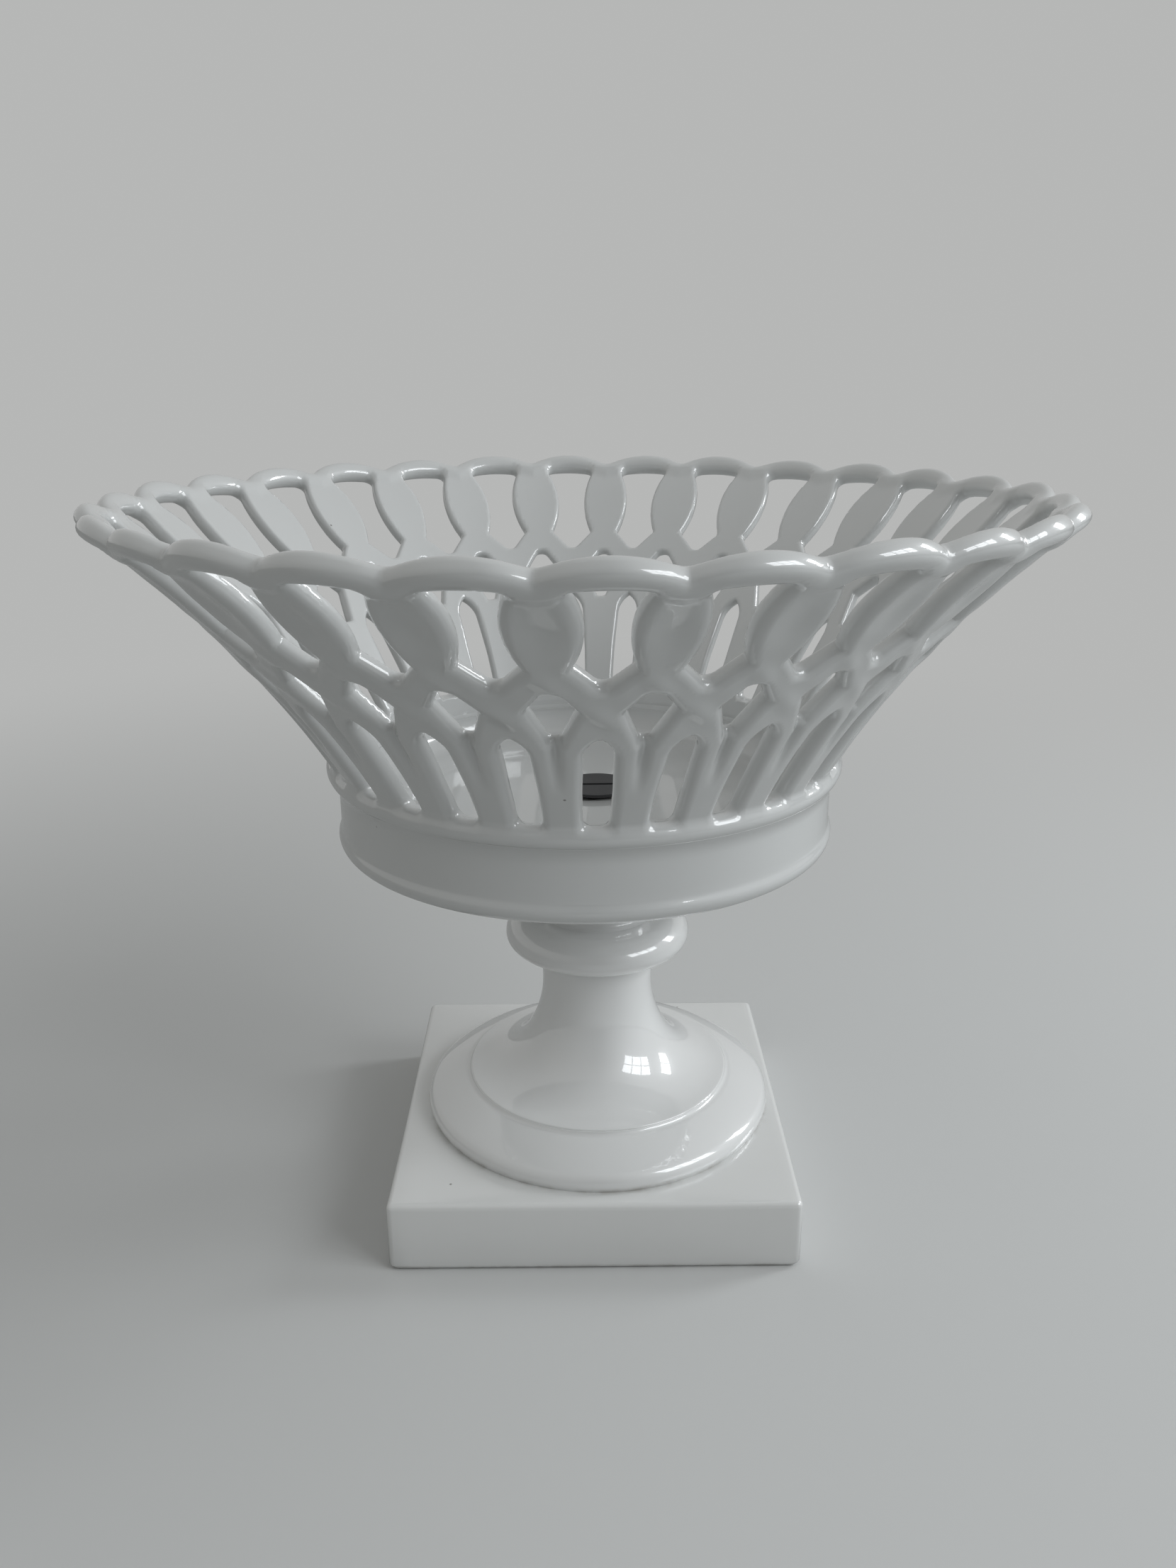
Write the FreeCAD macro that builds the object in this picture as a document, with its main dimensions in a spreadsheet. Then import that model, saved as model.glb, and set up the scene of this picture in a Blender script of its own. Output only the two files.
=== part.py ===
import math
import os

import FreeCAD
import Part
import Sketcher

# Footed fruit basket of white porcelain, in millimetres.
# A flared openwork wall with a scalloped rim stands on a plain drum. The drum is carried by a short
# neck, a cushion knop, a trumpet stem with a stepped foot and a square plinth.
# One bolt on the pedestal axis holds the fired basket on the fired pedestal.
# The frame has +Z up, its origin on the basket axis at the height of the table, and -Y to the front.

SIZES = [
    ("plinth_side", 130.0, "side of the square plinth"),
    ("plinth_height", 24.0, "height of the plinth"),
    ("plinth_wall", 8.0, "thickness of the plinth skirt"),
    ("plinth_deck", 8.0, "thickness of the plinth top"),
    ("plinth_edge_round", 2.0, "rounding of the outer edges of the plinth"),
    ("plinth_inner_round", 6.0, "rounding of the inner corners of the skirt"),
    ("pedestal_shift", 4.0, "how far the pedestal stands to the right of the basket axis"),
    ("pedestal_set_back", 4.0, "how far the pedestal stands behind the basket axis"),
    ("plinth_shift", 2.0, "how far the plinth lies to the right of the basket axis"),
    ("plinth_set_back", 3.0, "how far the plinth lies behind the basket axis"),
    ("foot_radius", 59.7, "nominal radius of the round foot"),
    ("foot_low_setback", 0.8, "how far the lower end of its rolled lip lies inside that radius"),
    ("foot_high_setback", 2.0, "how far the upper end of its rolled lip lies inside that radius"),
    ("foot_lip_height", 5.8, "height of the rolled lip"),
    ("foot_lip_curve", 3.6, "radius of the roll of the lip"),
    ("foot_crown_curve", 60.0, "curve of the crown from the lip up to the step"),
    ("foot_height", 11.0, "height of the round foot where the stem stands on it"),
    ("foot_ledge", 0.3, "width of foot left bare round the step"),
    ("foot_bore_radius", 28.0, "radius of the hollow through the foot"),
    ("step_radius", 44.9, "radius of the small step at the base of the stem"),
    ("step_height", 1.8, "height of that step"),
    ("step_round", 1.2, "rounding of the step edge"),
    ("stem_height", 46.5, "height of the trumpet stem"),
    ("stem_low_curve", 26.0, "curve of the trumpet near the foot"),
    ("stem_knee_radius", 23.5, "radius where the two curves of the trumpet meet"),
    ("stem_knee_height", 16.0, "height where the two curves of the trumpet meet"),
    ("stem_high_curve", 40.0, "curve of the trumpet near its waist"),
    ("stem_waist_radius", 18.8, "narrowest radius of the stem"),
    ("stem_waist_height", 36.0, "height of that waist"),
    ("stem_top_radius", 19.0, "radius of the stem under the knop"),
    ("stem_bell_radius", 32.0, "radius of the hollow of the stem at its base"),
    ("stem_bell_height", 24.0, "height where the bell of the hollow becomes a straight bore"),
    ("stem_bell_curve", 30.0, "curve of the bell of the hollow"),
    ("stem_bore_radius", 12.0, "radius of the straight bore of the stem"),
    ("knop_radius", 31.3, "widest radius of the knop"),
    ("knop_lower_height", 5.8, "height of the widest place of the knop"),
    ("knop_root_inset", 11.0, "how far the root of the knop lies inside its widest radius"),
    ("knop_under_curve", 18.5, "curve of the flat underside of the knop"),
    ("knop_belly_inset", 2.07, "how far the turn from the underside to the side lies inside that radius"),
    ("knop_belly_height", 2.3, "height of that turn"),
    ("knop_side_curve", 4.0, "curve of the side of the knop"),
    ("knop_shoulder_curve", 7.2, "curve of the shoulder of the knop, and its height"),
    ("neck_root_radius", 17.5, "radius of the neck where it leaves the knop"),
    ("neck_lip_radius", 40.0, "radius of the neck under the basket"),
    ("neck_height", 35.0, "height of the neck"),
    ("neck_lip_height", 3.0, "height of the straight lip of the neck"),
    ("neck_lip_width", 9.0, "width of the top of that lip"),
    ("neck_curve", 34.0, "curve of the outside of the neck"),
    ("neck_wall", 7.0, "thickness of the neck beside its hollow"),
    ("neck_base", 6.0, "thickness of the closed bottom of the neck"),
    ("neck_well_radius", 11.0, "radius of the bottom of the hollow of the neck"),
    ("seat_gasket_thickness", 1.0, "thickness of the cork ring between neck and basket floor"),
    ("seat_gasket_margin", 0.5, "how far that ring stays inside both edges of the lip"),
    ("floor_thickness", 7.5, "thickness of the basket floor"),
    ("floor_recess", 4.0, "how far the floor lies above the lower edge of the drum"),
    ("drum_radius", 78.7, "radius of the plain band of the drum"),
    ("drum_wall", 5.0, "thickness of the drum"),
    ("drum_height", 28.6, "height of the drum up to the foot of the wall"),
    ("drum_edge_curve", 5.0, "rounding of the lower edge of the drum"),
    ("drum_edge_swell", 0.8, "how far that edge swells beyond the band"),
    ("drum_swell_fade", 4.0, "height over which the swelling fades into the band"),
    ("drum_inner_slope", 8.6, "height of the slope inside the top of the drum"),
    ("bead_radius", 4.1, "radius of the half-round bead"),
    ("bead_below_top", 3.6, "how far the centre of the bead lies below the drum top"),
    ("wall_thickness", 5.0, "thickness of the openwork wall"),
    ("wall_curve", 280.3, "curve of the outside of the flared wall"),
    ("wall_foot_angle", 60.75, "slope of the wall where it stands on the drum"),
    ("rim_angle", 41.7, "slope of the wall at the rim"),
    ("rim_tube_radius", 3.6, "radius of the rolled rim"),
    ("rim_arch_rise", 3.4, "rise of each arch of the rim along the slope"),
    ("rim_arch_overlap", 1.9, "how far each arch runs on into the next one"),
    ("lattice_count", 28, "number of repeats round the basket"),
    ("leaf_turn_angle", 4.94, "how far the front leaf is turned to the left"),
    ("cutter_reach", 9.0, "how deep the cuts of the openings reach on each side of the surface"),
    ("window_angle", 48.08, "slope of the wall at the lower corners of the window"),
    ("window_half_width", 8.0, "half width of the window at its lower corners"),
    ("window_tip_half_width", 1.8, "half width of the rounded tip of the window"),
    ("window_tip_drop", 6.6, "slant from the lower corners down to that tip"),
    ("window_tip_curve", 2.5, "rounding of the tip"),
    ("window_top_half_width", 9.0, "half width of the window at the rim"),
    ("window_slant", 31.2, "slant from the lower corners up to the rim"),
    ("window_overrun", 8.0, "how far the cut of the window runs on into the rim"),
    ("leaf_side_curve", 56.0, "curve of the sides of a leaf"),
    ("diamond_angle", 51.39, "slope of the wall at the side corners of the diamond"),
    ("diamond_half_width", 6.2, "half width of the diamond"),
    ("diamond_top_half_width", 2.0, "half width of the rounded top of the diamond"),
    ("diamond_top_rise", 6.5, "slant from the side corners up to that top"),
    ("diamond_top_curve", 3.0, "rounding of the top"),
    ("diamond_foot_half_width", 1.4, "half width of the blunt lower end of the diamond"),
    ("diamond_foot_drop", 12.0, "slant from the side corners down to that end"),
    ("lancet_angle", 58.16, "slope of the wall at the widest place of the lancet"),
    ("lancet_half_width", 3.95, "half width of the lancet at its widest place"),
    ("lancet_foot_half_width", 3.6, "half width of the lancet below the drum top"),
    ("lancet_foot_drop", 16.0, "slant from the widest place down past the drum top"),
    ("lancet_shoulder_half_width", 3.7, "half width of the lancet where its arch springs"),
    ("lancet_shoulder_rise", 15.8, "slant from the widest place up to that shoulder"),
    ("lancet_arch_rise", 6.5, "slant from the shoulder up to the point of the arch"),
    ("lancet_arch_curve", 9.0, "curve of each side of the arch"),
    ("bolt_radius", 3.0, "radius of the tie bolt"),
    ("bolt_clearance", 1.5, "clearance round the tie bolt in the porcelain"),
    ("bolt_run_out", 2.0, "length of bolt below the nut"),
    ("head_radius", 11.4, "radius of the flat head of the bolt"),
    ("head_thickness", 1.0, "thickness of that head"),
    ("slot_width", 1.6, "width of the slot in the head"),
    ("slot_depth", 0.5, "depth of that slot"),
    ("slot_margin", 3.0, "how far the slot ends inside the edge of the head"),
    ("head_washer_radius", 10.0, "radius of the soft washer under the head"),
    ("head_washer_thickness", 0.5, "thickness of that washer"),
    ("washer_clearance", 0.3, "clearance of washers and cork round the bolt"),
    ("deck_gasket_radius", 17.0, "radius of the cork ring under the plinth deck"),
    ("deck_gasket_thickness", 1.0, "thickness of that ring"),
    ("plate_washer_radius", 15.0, "radius of the steel washer"),
    ("plate_washer_thickness", 1.2, "thickness of the steel washer"),
    ("nut_corner_radius", 5.75, "radius of the nut over its corners"),
    ("nut_height", 5.0, "height of the nut"),
]

# Heights of the stack, each worked out from the piece below it.
FOOT_BASE = "{plinth_height}"
STEM_BASE = FOOT_BASE + " + {foot_height}"
KNOP_BASE = STEM_BASE + " + {stem_height}"
NECK_BASE = KNOP_BASE + " + {knop_lower_height} + {knop_shoulder_curve}"
SEAT_BASE = NECK_BASE + " + {neck_height}"
FLOOR_BASE = SEAT_BASE + " + {seat_gasket_thickness}"
FLOOR_TOP = FLOOR_BASE + " + {floor_thickness}"
HEAD_BASE = FLOOR_TOP + " + {head_washer_thickness}"
DRUM_BASE = FLOOR_BASE + " - {floor_recess}"
WALL_BASE = DRUM_BASE + " + {drum_height}"
DECK_UNDERSIDE = "{plinth_height} - {plinth_deck}"
PLATE_TOP = DECK_UNDERSIDE + " - {deck_gasket_thickness}"
NUT_TOP = PLATE_TOP + " - {plate_washer_thickness}"
BOLT_END = NUT_TOP + " - {nut_height} - {bolt_run_out}"

# The upright axes, each given by its place across and behind the origin.
BASKET = ("0", "0")
PEDESTAL = ("{pedestal_shift}", "{pedestal_set_back}")
PLINTH = ("{plinth_shift}", "{plinth_set_back}")

BOLT_HOLE = "({bolt_radius} + {bolt_clearance})"
DRUM_BORE = "({drum_radius} - {drum_wall})"

# The outside of the wall is one arc that starts on the bead. The slope of the arc at a place gives
# the height and the radius of the place.
WALL_FOOT = "({drum_radius} + sqrt({bead_radius} ^ 2 - {bead_below_top} ^ 2))"
ARC_CENTRE_ACROSS = "(" + WALL_FOOT + " + {wall_curve} * sin({wall_foot_angle}))"
ARC_CENTRE_DOWN = "({wall_curve} * cos({wall_foot_angle}))"
INNER_CURVE = "({wall_curve} + {wall_thickness})"
INNER_FOOT = "(" + ARC_CENTRE_ACROSS + " - sqrt(" + INNER_CURVE + " ^ 2 - " + ARC_CENTRE_DOWN + " ^ 2))"
RIM_CURVE = "({wall_curve} + {wall_thickness} / 2)"

HALF_PITCH = "(180 / {lattice_count})"
LATTICE_TURN = "(-90 - {leaf_turn_angle} - " + HALF_PITCH + ")"


def wall_place(curve, angle):
    """Radius and height, as formulas, of the place on an arc of the wall where it has a slope."""
    across = "(%s - %s * sin(%s))" % (ARC_CENTRE_ACROSS, curve, angle)
    up = "(%s * cos(%s) - %s)" % (curve, angle, ARC_CENTRE_DOWN)
    return across, up


RIM_NODE_RADIUS, RIM_NODE_HEIGHT = wall_place(RIM_CURVE, "{rim_angle}")
RIM_HALF_CHORD = "(" + RIM_NODE_RADIUS + " * sin(" + HALF_PITCH + "))"
RIM_ARCH_CURVE = "((" + RIM_HALF_CHORD + " ^ 2 + {rim_arch_rise} ^ 2) / (2 * {rim_arch_rise}))"
RIM_HALF_SWEEP = "(asin(%s / %s) + atan({rim_arch_overlap} / %s))" % (
    RIM_HALF_CHORD, RIM_ARCH_CURVE, RIM_ARCH_CURVE)
RIM_APEX_ACROSS = "(%s * cos(%s) + {rim_arch_rise} * cos({rim_angle}))" % (RIM_NODE_RADIUS, HALF_PITCH)
RIM_APEX_UP = "(" + RIM_NODE_HEIGHT + " + {rim_arch_rise} * sin({rim_angle}))"

doc = FreeCAD.newDocument("footed_cup")
sheet = doc.addObject("Spreadsheet::Sheet", "Sizes")
for row, (alias, value, meaning) in enumerate(SIZES, start=1):
    sheet.set("A%d" % row, meaning)
    sheet.set("B%d" % row, str(value))
    sheet.setAlias("B%d" % row, alias)
gauge = doc.addObject("App::VarSet", "Gauge")
gauge.addProperty("App::PropertyFloat", "Reading")
doc.recompute()

parts = []


def in_sheet(formula):
    """Turn the names written in braces into references to the sheet."""
    return formula.replace("{", "Sizes.").replace("}", "")


def number(formula):
    """The value of a formula as a plain number."""
    gauge.setExpression("Reading", in_sheet(formula))
    doc.recompute()
    return gauge.Reading


def place(item, axis, up, turn="0"):
    """Put an object on an upright axis at a height, turned about that axis."""
    formula = "placement(vector(%s; %s; %s); rotation(vector(0; 0; 1); %s))" % (axis + (up, turn))
    item.setExpression("Placement", in_sheet(formula))


def new_body(label):
    body = doc.addObject("PartDesign::Body", label)
    body.Label = label
    return body


def origin_item(body, role):
    return [item for item in body.Origin.OriginFeatures if item.Role == role][0]


def new_sketch(body, name, plane):
    sketch = body.newObject("Sketcher::SketchObject", name)
    sketch.AttachmentSupport = [(origin_item(body, plane), "")]
    sketch.MapMode = "FlatFace"
    return sketch


def bind_distance(sketch, kind, item, spot, formula):
    number = sketch.addConstraint(Sketcher.Constraint(kind, -1, 1, item, spot, 1.0))
    sketch.setExpression("Constraints[%d]" % number, in_sheet(formula))


def bind_radius(sketch, item, formula):
    radius = sketch.Geometry[item].Radius
    number = sketch.addConstraint(Sketcher.Constraint("Radius", item, radius))
    sketch.setExpression("Constraints[%d]" % number, in_sheet(formula))


def draw_outline(sketch, corners, curves):
    """Draw a closed outline through corners that are given as pairs of formulas.

    curves gives, by the number of a side, the formula of its radius and its hand: +1 where the side
    bulges to the right of the way the outline runs, -1 to the left. All other sides are straight.
    """
    count = len(corners)
    for across, up in corners:
        point = sketch.addGeometry(Part.Point(FreeCAD.Vector(1, 1, 0)), True)
        bind_distance(sketch, "DistanceX", point, 1, across)
        bind_distance(sketch, "DistanceY", point, 1, up)
    doc.recompute()
    spots = [FreeCAD.Vector(sketch.Geometry[i].X, sketch.Geometry[i].Y, 0) for i in range(count)]
    for side in range(count):
        after = (side + 1) % count
        formula, hand = curves.get(side, ("0", 0))
        item = sketch.addGeometry(side_shape(spots[side], spots[after], number(formula), hand), False)
        first, last = (2, 1) if hand < 0 else (1, 2)
        sketch.addConstraint(Sketcher.Constraint("Coincident", item, first, side, 1))
        sketch.addConstraint(Sketcher.Constraint("Coincident", item, last, after, 1))
        if hand:
            bind_radius(sketch, item, formula)
    doc.recompute()


def side_shape(start, end, radius, hand):
    """A straight side, or an arc of under half a turn that bulges to its hand."""
    if not hand:
        return Part.LineSegment(start, end)
    chord = end - start
    inward = FreeCAD.Vector(-chord.y, chord.x, 0).normalize() * hand
    centre = (start + end) / 2 + inward * math.sqrt(radius ** 2 - chord.Length ** 2 / 4)
    first, last = (end, start) if hand < 0 else (start, end)
    low = math.atan2(first.y - centre.y, first.x - centre.x)
    high = math.atan2(last.y - centre.y, last.x - centre.x)
    return Part.ArcOfCircle(Part.Circle(centre, FreeCAD.Vector(0, 0, 1), radius), low, high)


def draw_circle(sketch, centre, radius):
    item = sketch.addGeometry(Part.Circle(FreeCAD.Vector(1, 1, 0), FreeCAD.Vector(0, 0, 1), 1.0), False)
    bind_distance(sketch, "DistanceX", item, 3, centre[0])
    bind_distance(sketch, "DistanceY", item, 3, centre[1])
    bind_radius(sketch, item, radius)


def turned_piece(label, axis, up, corners, curves):
    """A piece thrown or turned round its own axis, from an outline of radii and heights."""
    body = new_body(label)
    sketch = new_sketch(body, label + "_outline", "XZ_Plane")
    draw_outline(sketch, corners, curves)
    turning = body.newObject("PartDesign::Revolution", label + "_turning")
    turning.Profile = sketch
    turning.ReferenceAxis = (sketch, ["V_Axis"])
    turning.Angle = 360
    place(body, axis, up)
    parts.append(body)
    return body


def cut(body, sketch, length, both_ways=False):
    """Cut a sketch out of a body, upwards or both ways from its plane."""
    pocket = body.newObject("PartDesign::Pocket", sketch.Name + "_cut")
    pocket.Profile = sketch
    pocket.SideType = "Symmetric" if both_ways else "One side"
    pocket.Reversed = not both_ways
    pocket.setExpression("Length", in_sheet(length))
    doc.recompute()
    return pocket


def round_edges(body, base, radius, wanted):
    """Round the edges of a feature that the given test picks."""
    names = ["Edge%d" % (i + 1) for i, edge in enumerate(base.Shape.Edges) if wanted(edge)]
    rounding = body.newObject("PartDesign::Fillet", base.Name + "_rounding")
    rounding.Base = (base, names)
    rounding.setExpression("Radius", in_sheet(radius))
    doc.recompute()
    return rounding


def repeat_round(body, features):
    """Repeat features round the upright axis, once for each repeat of the lattice."""
    pattern = body.newObject("PartDesign::PolarPattern", body.Label + "_repeats")
    pattern.Originals = features
    pattern.Axis = (origin_item(body, "Z_Axis"), [""])
    pattern.Angle = 360
    pattern.setExpression("Occurrences", in_sheet("{lattice_count}"))
    body.Tip = pattern
    return pattern


def cylinder(name, radius, height, up):
    item = doc.addObject("Part::Cylinder", name)
    item.setExpression("Radius", in_sheet(radius))
    item.setExpression("Height", in_sheet(height))
    place(item, PEDESTAL, up)
    return item


def ring(label, outer, inner, height, up):
    """A flat ring on the pedestal axis."""
    whole = cylinder(label + "_disc", outer, height, up)
    bore = cylinder(label + "_bore", inner, height, up)
    return finished_cut(label, whole, bore)


def finished_cut(label, base, tool):
    item = doc.addObject("Part::Cut", label)
    item.Label = label
    item.Base = base
    item.Tool = tool
    parts.append(item)
    return item


def square(half):
    return [("-" + half, "-" + half), (half, "-" + half), (half, half), ("-" + half, half)]


def make_plinth():
    """Square slab, open underneath so that it fires flat, with its bolt hole on the pedestal axis."""
    body = new_body("square_plinth")
    outline = new_sketch(body, "plinth_outline", "XY_Plane")
    draw_outline(outline, square("({plinth_side} / 2)"), {})
    slab = body.newObject("PartDesign::Pad", "plinth_slab")
    slab.Profile = outline
    slab.setExpression("Length", in_sheet("{plinth_height}"))
    doc.recompute()
    round_edges(body, slab, "{plinth_edge_round}", lambda edge: edge.BoundBox.ZMax > 0)
    hollow = new_sketch(body, "plinth_hollow", "XY_Plane")
    draw_outline(hollow, square("({plinth_side} / 2 - {plinth_wall})"), {})
    hollowed = cut(body, hollow, "{plinth_height} - {plinth_deck}")
    inside = sheet.plinth_side / 2 - sheet.plinth_wall / 2
    under_deck = sheet.plinth_height - sheet.plinth_deck / 2
    round_edges(body, hollowed, "{plinth_inner_round}",
                lambda edge: is_upright(edge) and in_box(edge, inside, under_deck))
    hole = new_sketch(body, "plinth_bolt_hole", "XY_Plane")
    centre = ("{pedestal_shift} - {plinth_shift}", "{pedestal_set_back} - {plinth_set_back}")
    draw_circle(hole, centre, BOLT_HOLE)
    cut(body, hole, "{plinth_height}")
    place(body, PLINTH, "0")
    parts.append(body)


def is_upright(edge):
    box = edge.BoundBox
    return box.ZLength > max(box.XLength, box.YLength)


def in_box(edge, half_side, top):
    """Whether an edge lies within a square round the axis and below a height."""
    box = edge.BoundBox
    return max(box.XMax, box.YMax, -box.XMin, -box.YMin) < half_side and box.ZMax < top


def make_foot():
    corners = [
        ("{foot_bore_radius}", "0"),
        ("{foot_radius} - {foot_low_setback}", "0"),
        ("{foot_radius} - {foot_high_setback}", "{foot_lip_height}"),
        ("{step_radius} + {foot_ledge}", "{foot_height}"),
        ("{foot_bore_radius}", "{foot_height}"),
    ]
    curves = {1: ("{foot_lip_curve}", 1), 2: ("{foot_crown_curve}", 1)}
    turned_piece("round_foot", PEDESTAL, FOOT_BASE, corners, curves)


def make_stem():
    corners = [
        ("{stem_bell_radius}", "0"),
        ("{step_radius}", "0"),
        ("{step_radius}", "{step_height} - {step_round}"),
        ("{step_radius} - {step_round}", "{step_height}"),
        ("{stem_knee_radius}", "{stem_knee_height}"),
        ("{stem_waist_radius}", "{stem_waist_height}"),
        ("{stem_top_radius}", "{stem_height}"),
        ("{stem_bore_radius}", "{stem_height}"),
        ("{stem_bore_radius}", "{stem_bell_height}"),
    ]
    curves = {
        2: ("{step_round}", 1),
        3: ("{stem_low_curve}", -1),
        4: ("{stem_high_curve}", -1),
        8: ("{stem_bell_curve}", 1),
    }
    turned_piece("stem", PEDESTAL, STEM_BASE, corners, curves)


def make_knop():
    corners = [
        (BOLT_HOLE, "0"),
        ("{knop_radius} - {knop_root_inset}", "0"),
        ("{knop_radius} - {knop_belly_inset}", "{knop_belly_height}"),
        ("{knop_radius}", "{knop_lower_height}"),
        ("{knop_radius} - {knop_shoulder_curve}", "{knop_lower_height} + {knop_shoulder_curve}"),
        (BOLT_HOLE, "{knop_lower_height} + {knop_shoulder_curve}"),
    ]
    curves = {
        1: ("{knop_under_curve}", 1),
        2: ("{knop_side_curve}", 1),
        3: ("{knop_shoulder_curve}", 1),
    }
    turned_piece("knop", PEDESTAL, KNOP_BASE, corners, curves)


def make_neck():
    corners = [
        (BOLT_HOLE, "0"),
        ("{neck_root_radius}", "0"),
        ("{neck_lip_radius}", "{neck_height} - {neck_lip_height}"),
        ("{neck_lip_radius}", "{neck_height}"),
        ("{neck_lip_radius} - {neck_lip_width}", "{neck_height}"),
        ("{neck_well_radius}", "{neck_base}"),
        (BOLT_HOLE, "{neck_base}"),
    ]
    curves = {1: ("{neck_curve}", -1), 4: ("{neck_curve} + {neck_wall}", 1)}
    turned_piece("flared_neck", PEDESTAL, NECK_BASE, corners, curves)


def make_seat_gasket():
    outer = "{neck_lip_radius} - {seat_gasket_margin}"
    inner = "{neck_lip_radius} - {neck_lip_width} + {seat_gasket_margin}"
    ring("seat_gasket", outer, inner, "{seat_gasket_thickness}", SEAT_BASE)


def make_floor():
    """Floor slab, pierced on the pedestal axis and not on its own."""
    body = new_body("basket_floor")
    outline = new_sketch(body, "floor_outline", "XY_Plane")
    draw_circle(outline, BASKET, DRUM_BORE)
    draw_circle(outline, PEDESTAL, BOLT_HOLE)
    slab = body.newObject("PartDesign::Pad", "floor_slab")
    slab.Profile = outline
    slab.setExpression("Length", in_sheet("{floor_thickness}"))
    place(body, BASKET, FLOOR_BASE)
    parts.append(body)


def make_drum():
    corners = [
        (DRUM_BORE, "0"),
        ("{drum_radius} + {drum_edge_swell} - {drum_edge_curve}", "0"),
        ("{drum_radius} + {drum_edge_swell}", "{drum_edge_curve}"),
        ("{drum_radius}", "{drum_edge_curve} + {drum_swell_fade}"),
        ("{drum_radius}", "{drum_height} - {bead_below_top} - {bead_radius}"),
        (WALL_FOOT, "{drum_height}"),
        (INNER_FOOT, "{drum_height}"),
        (DRUM_BORE, "{drum_height} - {drum_inner_slope}"),
    ]
    curves = {1: ("{drum_edge_curve}", 1), 4: ("{bead_radius}", 1)}
    turned_piece("drum_collar", BASKET, DRUM_BASE, corners, curves)


def on_wall(sketch, angle, azimuth):
    """Lay a sketch on the outside of the wall, x along the rim and y up the slope."""
    across, up = wall_place("{wall_curve}", angle)
    spot = "vector(%s * sin(%s); %s; %s * cos(%s))" % (across, azimuth, up, across, azimuth)
    turn = "rotation(vector(0; 1; 0); %s)" % azimuth
    lean = "rotation(vector(1; 0; 0); 90 - %s)" % angle
    sketch.setExpression("AttachmentOffset", in_sheet("placement(%s; %s * %s)" % (spot, turn, lean)))


def opening(body, name, angle, azimuth, half, curves):
    """Cut one opening of the wall from the right half of its outline, which runs upwards."""
    sketch = new_sketch(body, name, "YZ_Plane")
    on_wall(sketch, angle, azimuth)
    left = [("-(" + across + ")", up) for across, up in reversed(half) if across != "0"]
    draw_outline(sketch, half + left, curves)
    return cut(body, sketch, "2 * {cutter_reach}", both_ways=True)


def cut_window(body):
    half = [
        ("{window_tip_half_width}", "-{window_tip_drop}"),
        ("{window_half_width}", "0"),
        ("{window_top_half_width}", "{window_slant}"),
        ("{window_top_half_width}", "{window_slant} + {window_overrun}"),
    ]
    side = ("{leaf_side_curve}", -1)
    curves = {1: side, 5: side, 7: ("{window_tip_curve}", 1)}
    return opening(body, "window", "{window_angle}", "0", half, curves)


def cut_diamond(body):
    half = [
        ("{diamond_foot_half_width}", "-{diamond_foot_drop}"),
        ("{diamond_half_width}", "0"),
        ("{diamond_top_half_width}", "{diamond_top_rise}"),
    ]
    curves = {2: ("{diamond_top_curve}", 1)}
    return opening(body, "diamond", "{diamond_angle}", HALF_PITCH, half, curves)


def cut_lancet(body):
    half = [
        ("{lancet_foot_half_width}", "-{lancet_foot_drop}"),
        ("{lancet_half_width}", "0"),
        ("{lancet_shoulder_half_width}", "{lancet_shoulder_rise}"),
        ("0", "{lancet_shoulder_rise} + {lancet_arch_rise}"),
    ]
    arch = ("{lancet_arch_curve}", 1)
    curves = {2: arch, 3: arch}
    return opening(body, "lancet", "{lancet_angle}", "0", half, curves)


def make_wall(rim):
    """Flared wall, pierced all round, with the tips of its leaves cut to the rim."""
    body = new_body("wall_blank")
    outline = new_sketch(body, "wall_outline", "XZ_Plane")
    corners = [
        (INNER_FOOT, "0"),
        (WALL_FOOT, "0"),
        wall_place("{wall_curve}", "{rim_angle}"),
        wall_place(INNER_CURVE, "{rim_angle}"),
    ]
    draw_outline(outline, corners, {1: ("{wall_curve}", -1), 3: (INNER_CURVE, 1)})
    turning = body.newObject("PartDesign::Revolution", "wall_turning")
    turning.Profile = outline
    turning.ReferenceAxis = (outline, ["V_Axis"])
    turning.Angle = 360
    doc.recompute()
    repeat_round(body, [cut_window(body), cut_diamond(body), cut_lancet(body)])
    place(body, BASKET, WALL_BASE, LATTICE_TURN)
    finished_cut("pierced_wall", body, rim)


def make_rim():
    """Rolled rim of equal arches. Each is a piece of a ring that leans with the wall."""
    body = new_body("scalloped_rim")
    section = new_sketch(body, "rim_section", "XZ_Plane")
    draw_circle(section, (RIM_APEX_ACROSS, RIM_APEX_UP), "{rim_tube_radius}")
    hub_across = "%s - %s * cos({rim_angle})" % (RIM_APEX_ACROSS, RIM_ARCH_CURVE)
    hub_up = "%s - %s * sin({rim_angle})" % (RIM_APEX_UP, RIM_ARCH_CURVE)
    axle = section.addGeometry(Part.LineSegment(FreeCAD.Vector(1, 1, 0), FreeCAD.Vector(0, 2, 0)), True)
    bind_distance(section, "DistanceX", axle, 1, hub_across)
    bind_distance(section, "DistanceY", axle, 1, hub_up)
    bind_distance(section, "DistanceX", axle, 2, hub_across + " - {rim_tube_radius} * sin({rim_angle})")
    bind_distance(section, "DistanceY", axle, 2, hub_up + " + {rim_tube_radius} * cos({rim_angle})")
    doc.recompute()
    arch = body.newObject("PartDesign::Revolution", "rim_arch")
    arch.Profile = section
    arch.ReferenceAxis = (section, ["Axis0"])
    arch.Midplane = True
    arch.setExpression("Angle", in_sheet("2 * " + RIM_HALF_SWEEP))
    doc.recompute()
    repeat_round(body, [arch])
    place(body, BASKET, WALL_BASE, LATTICE_TURN)
    parts.append(body)
    return body


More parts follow.
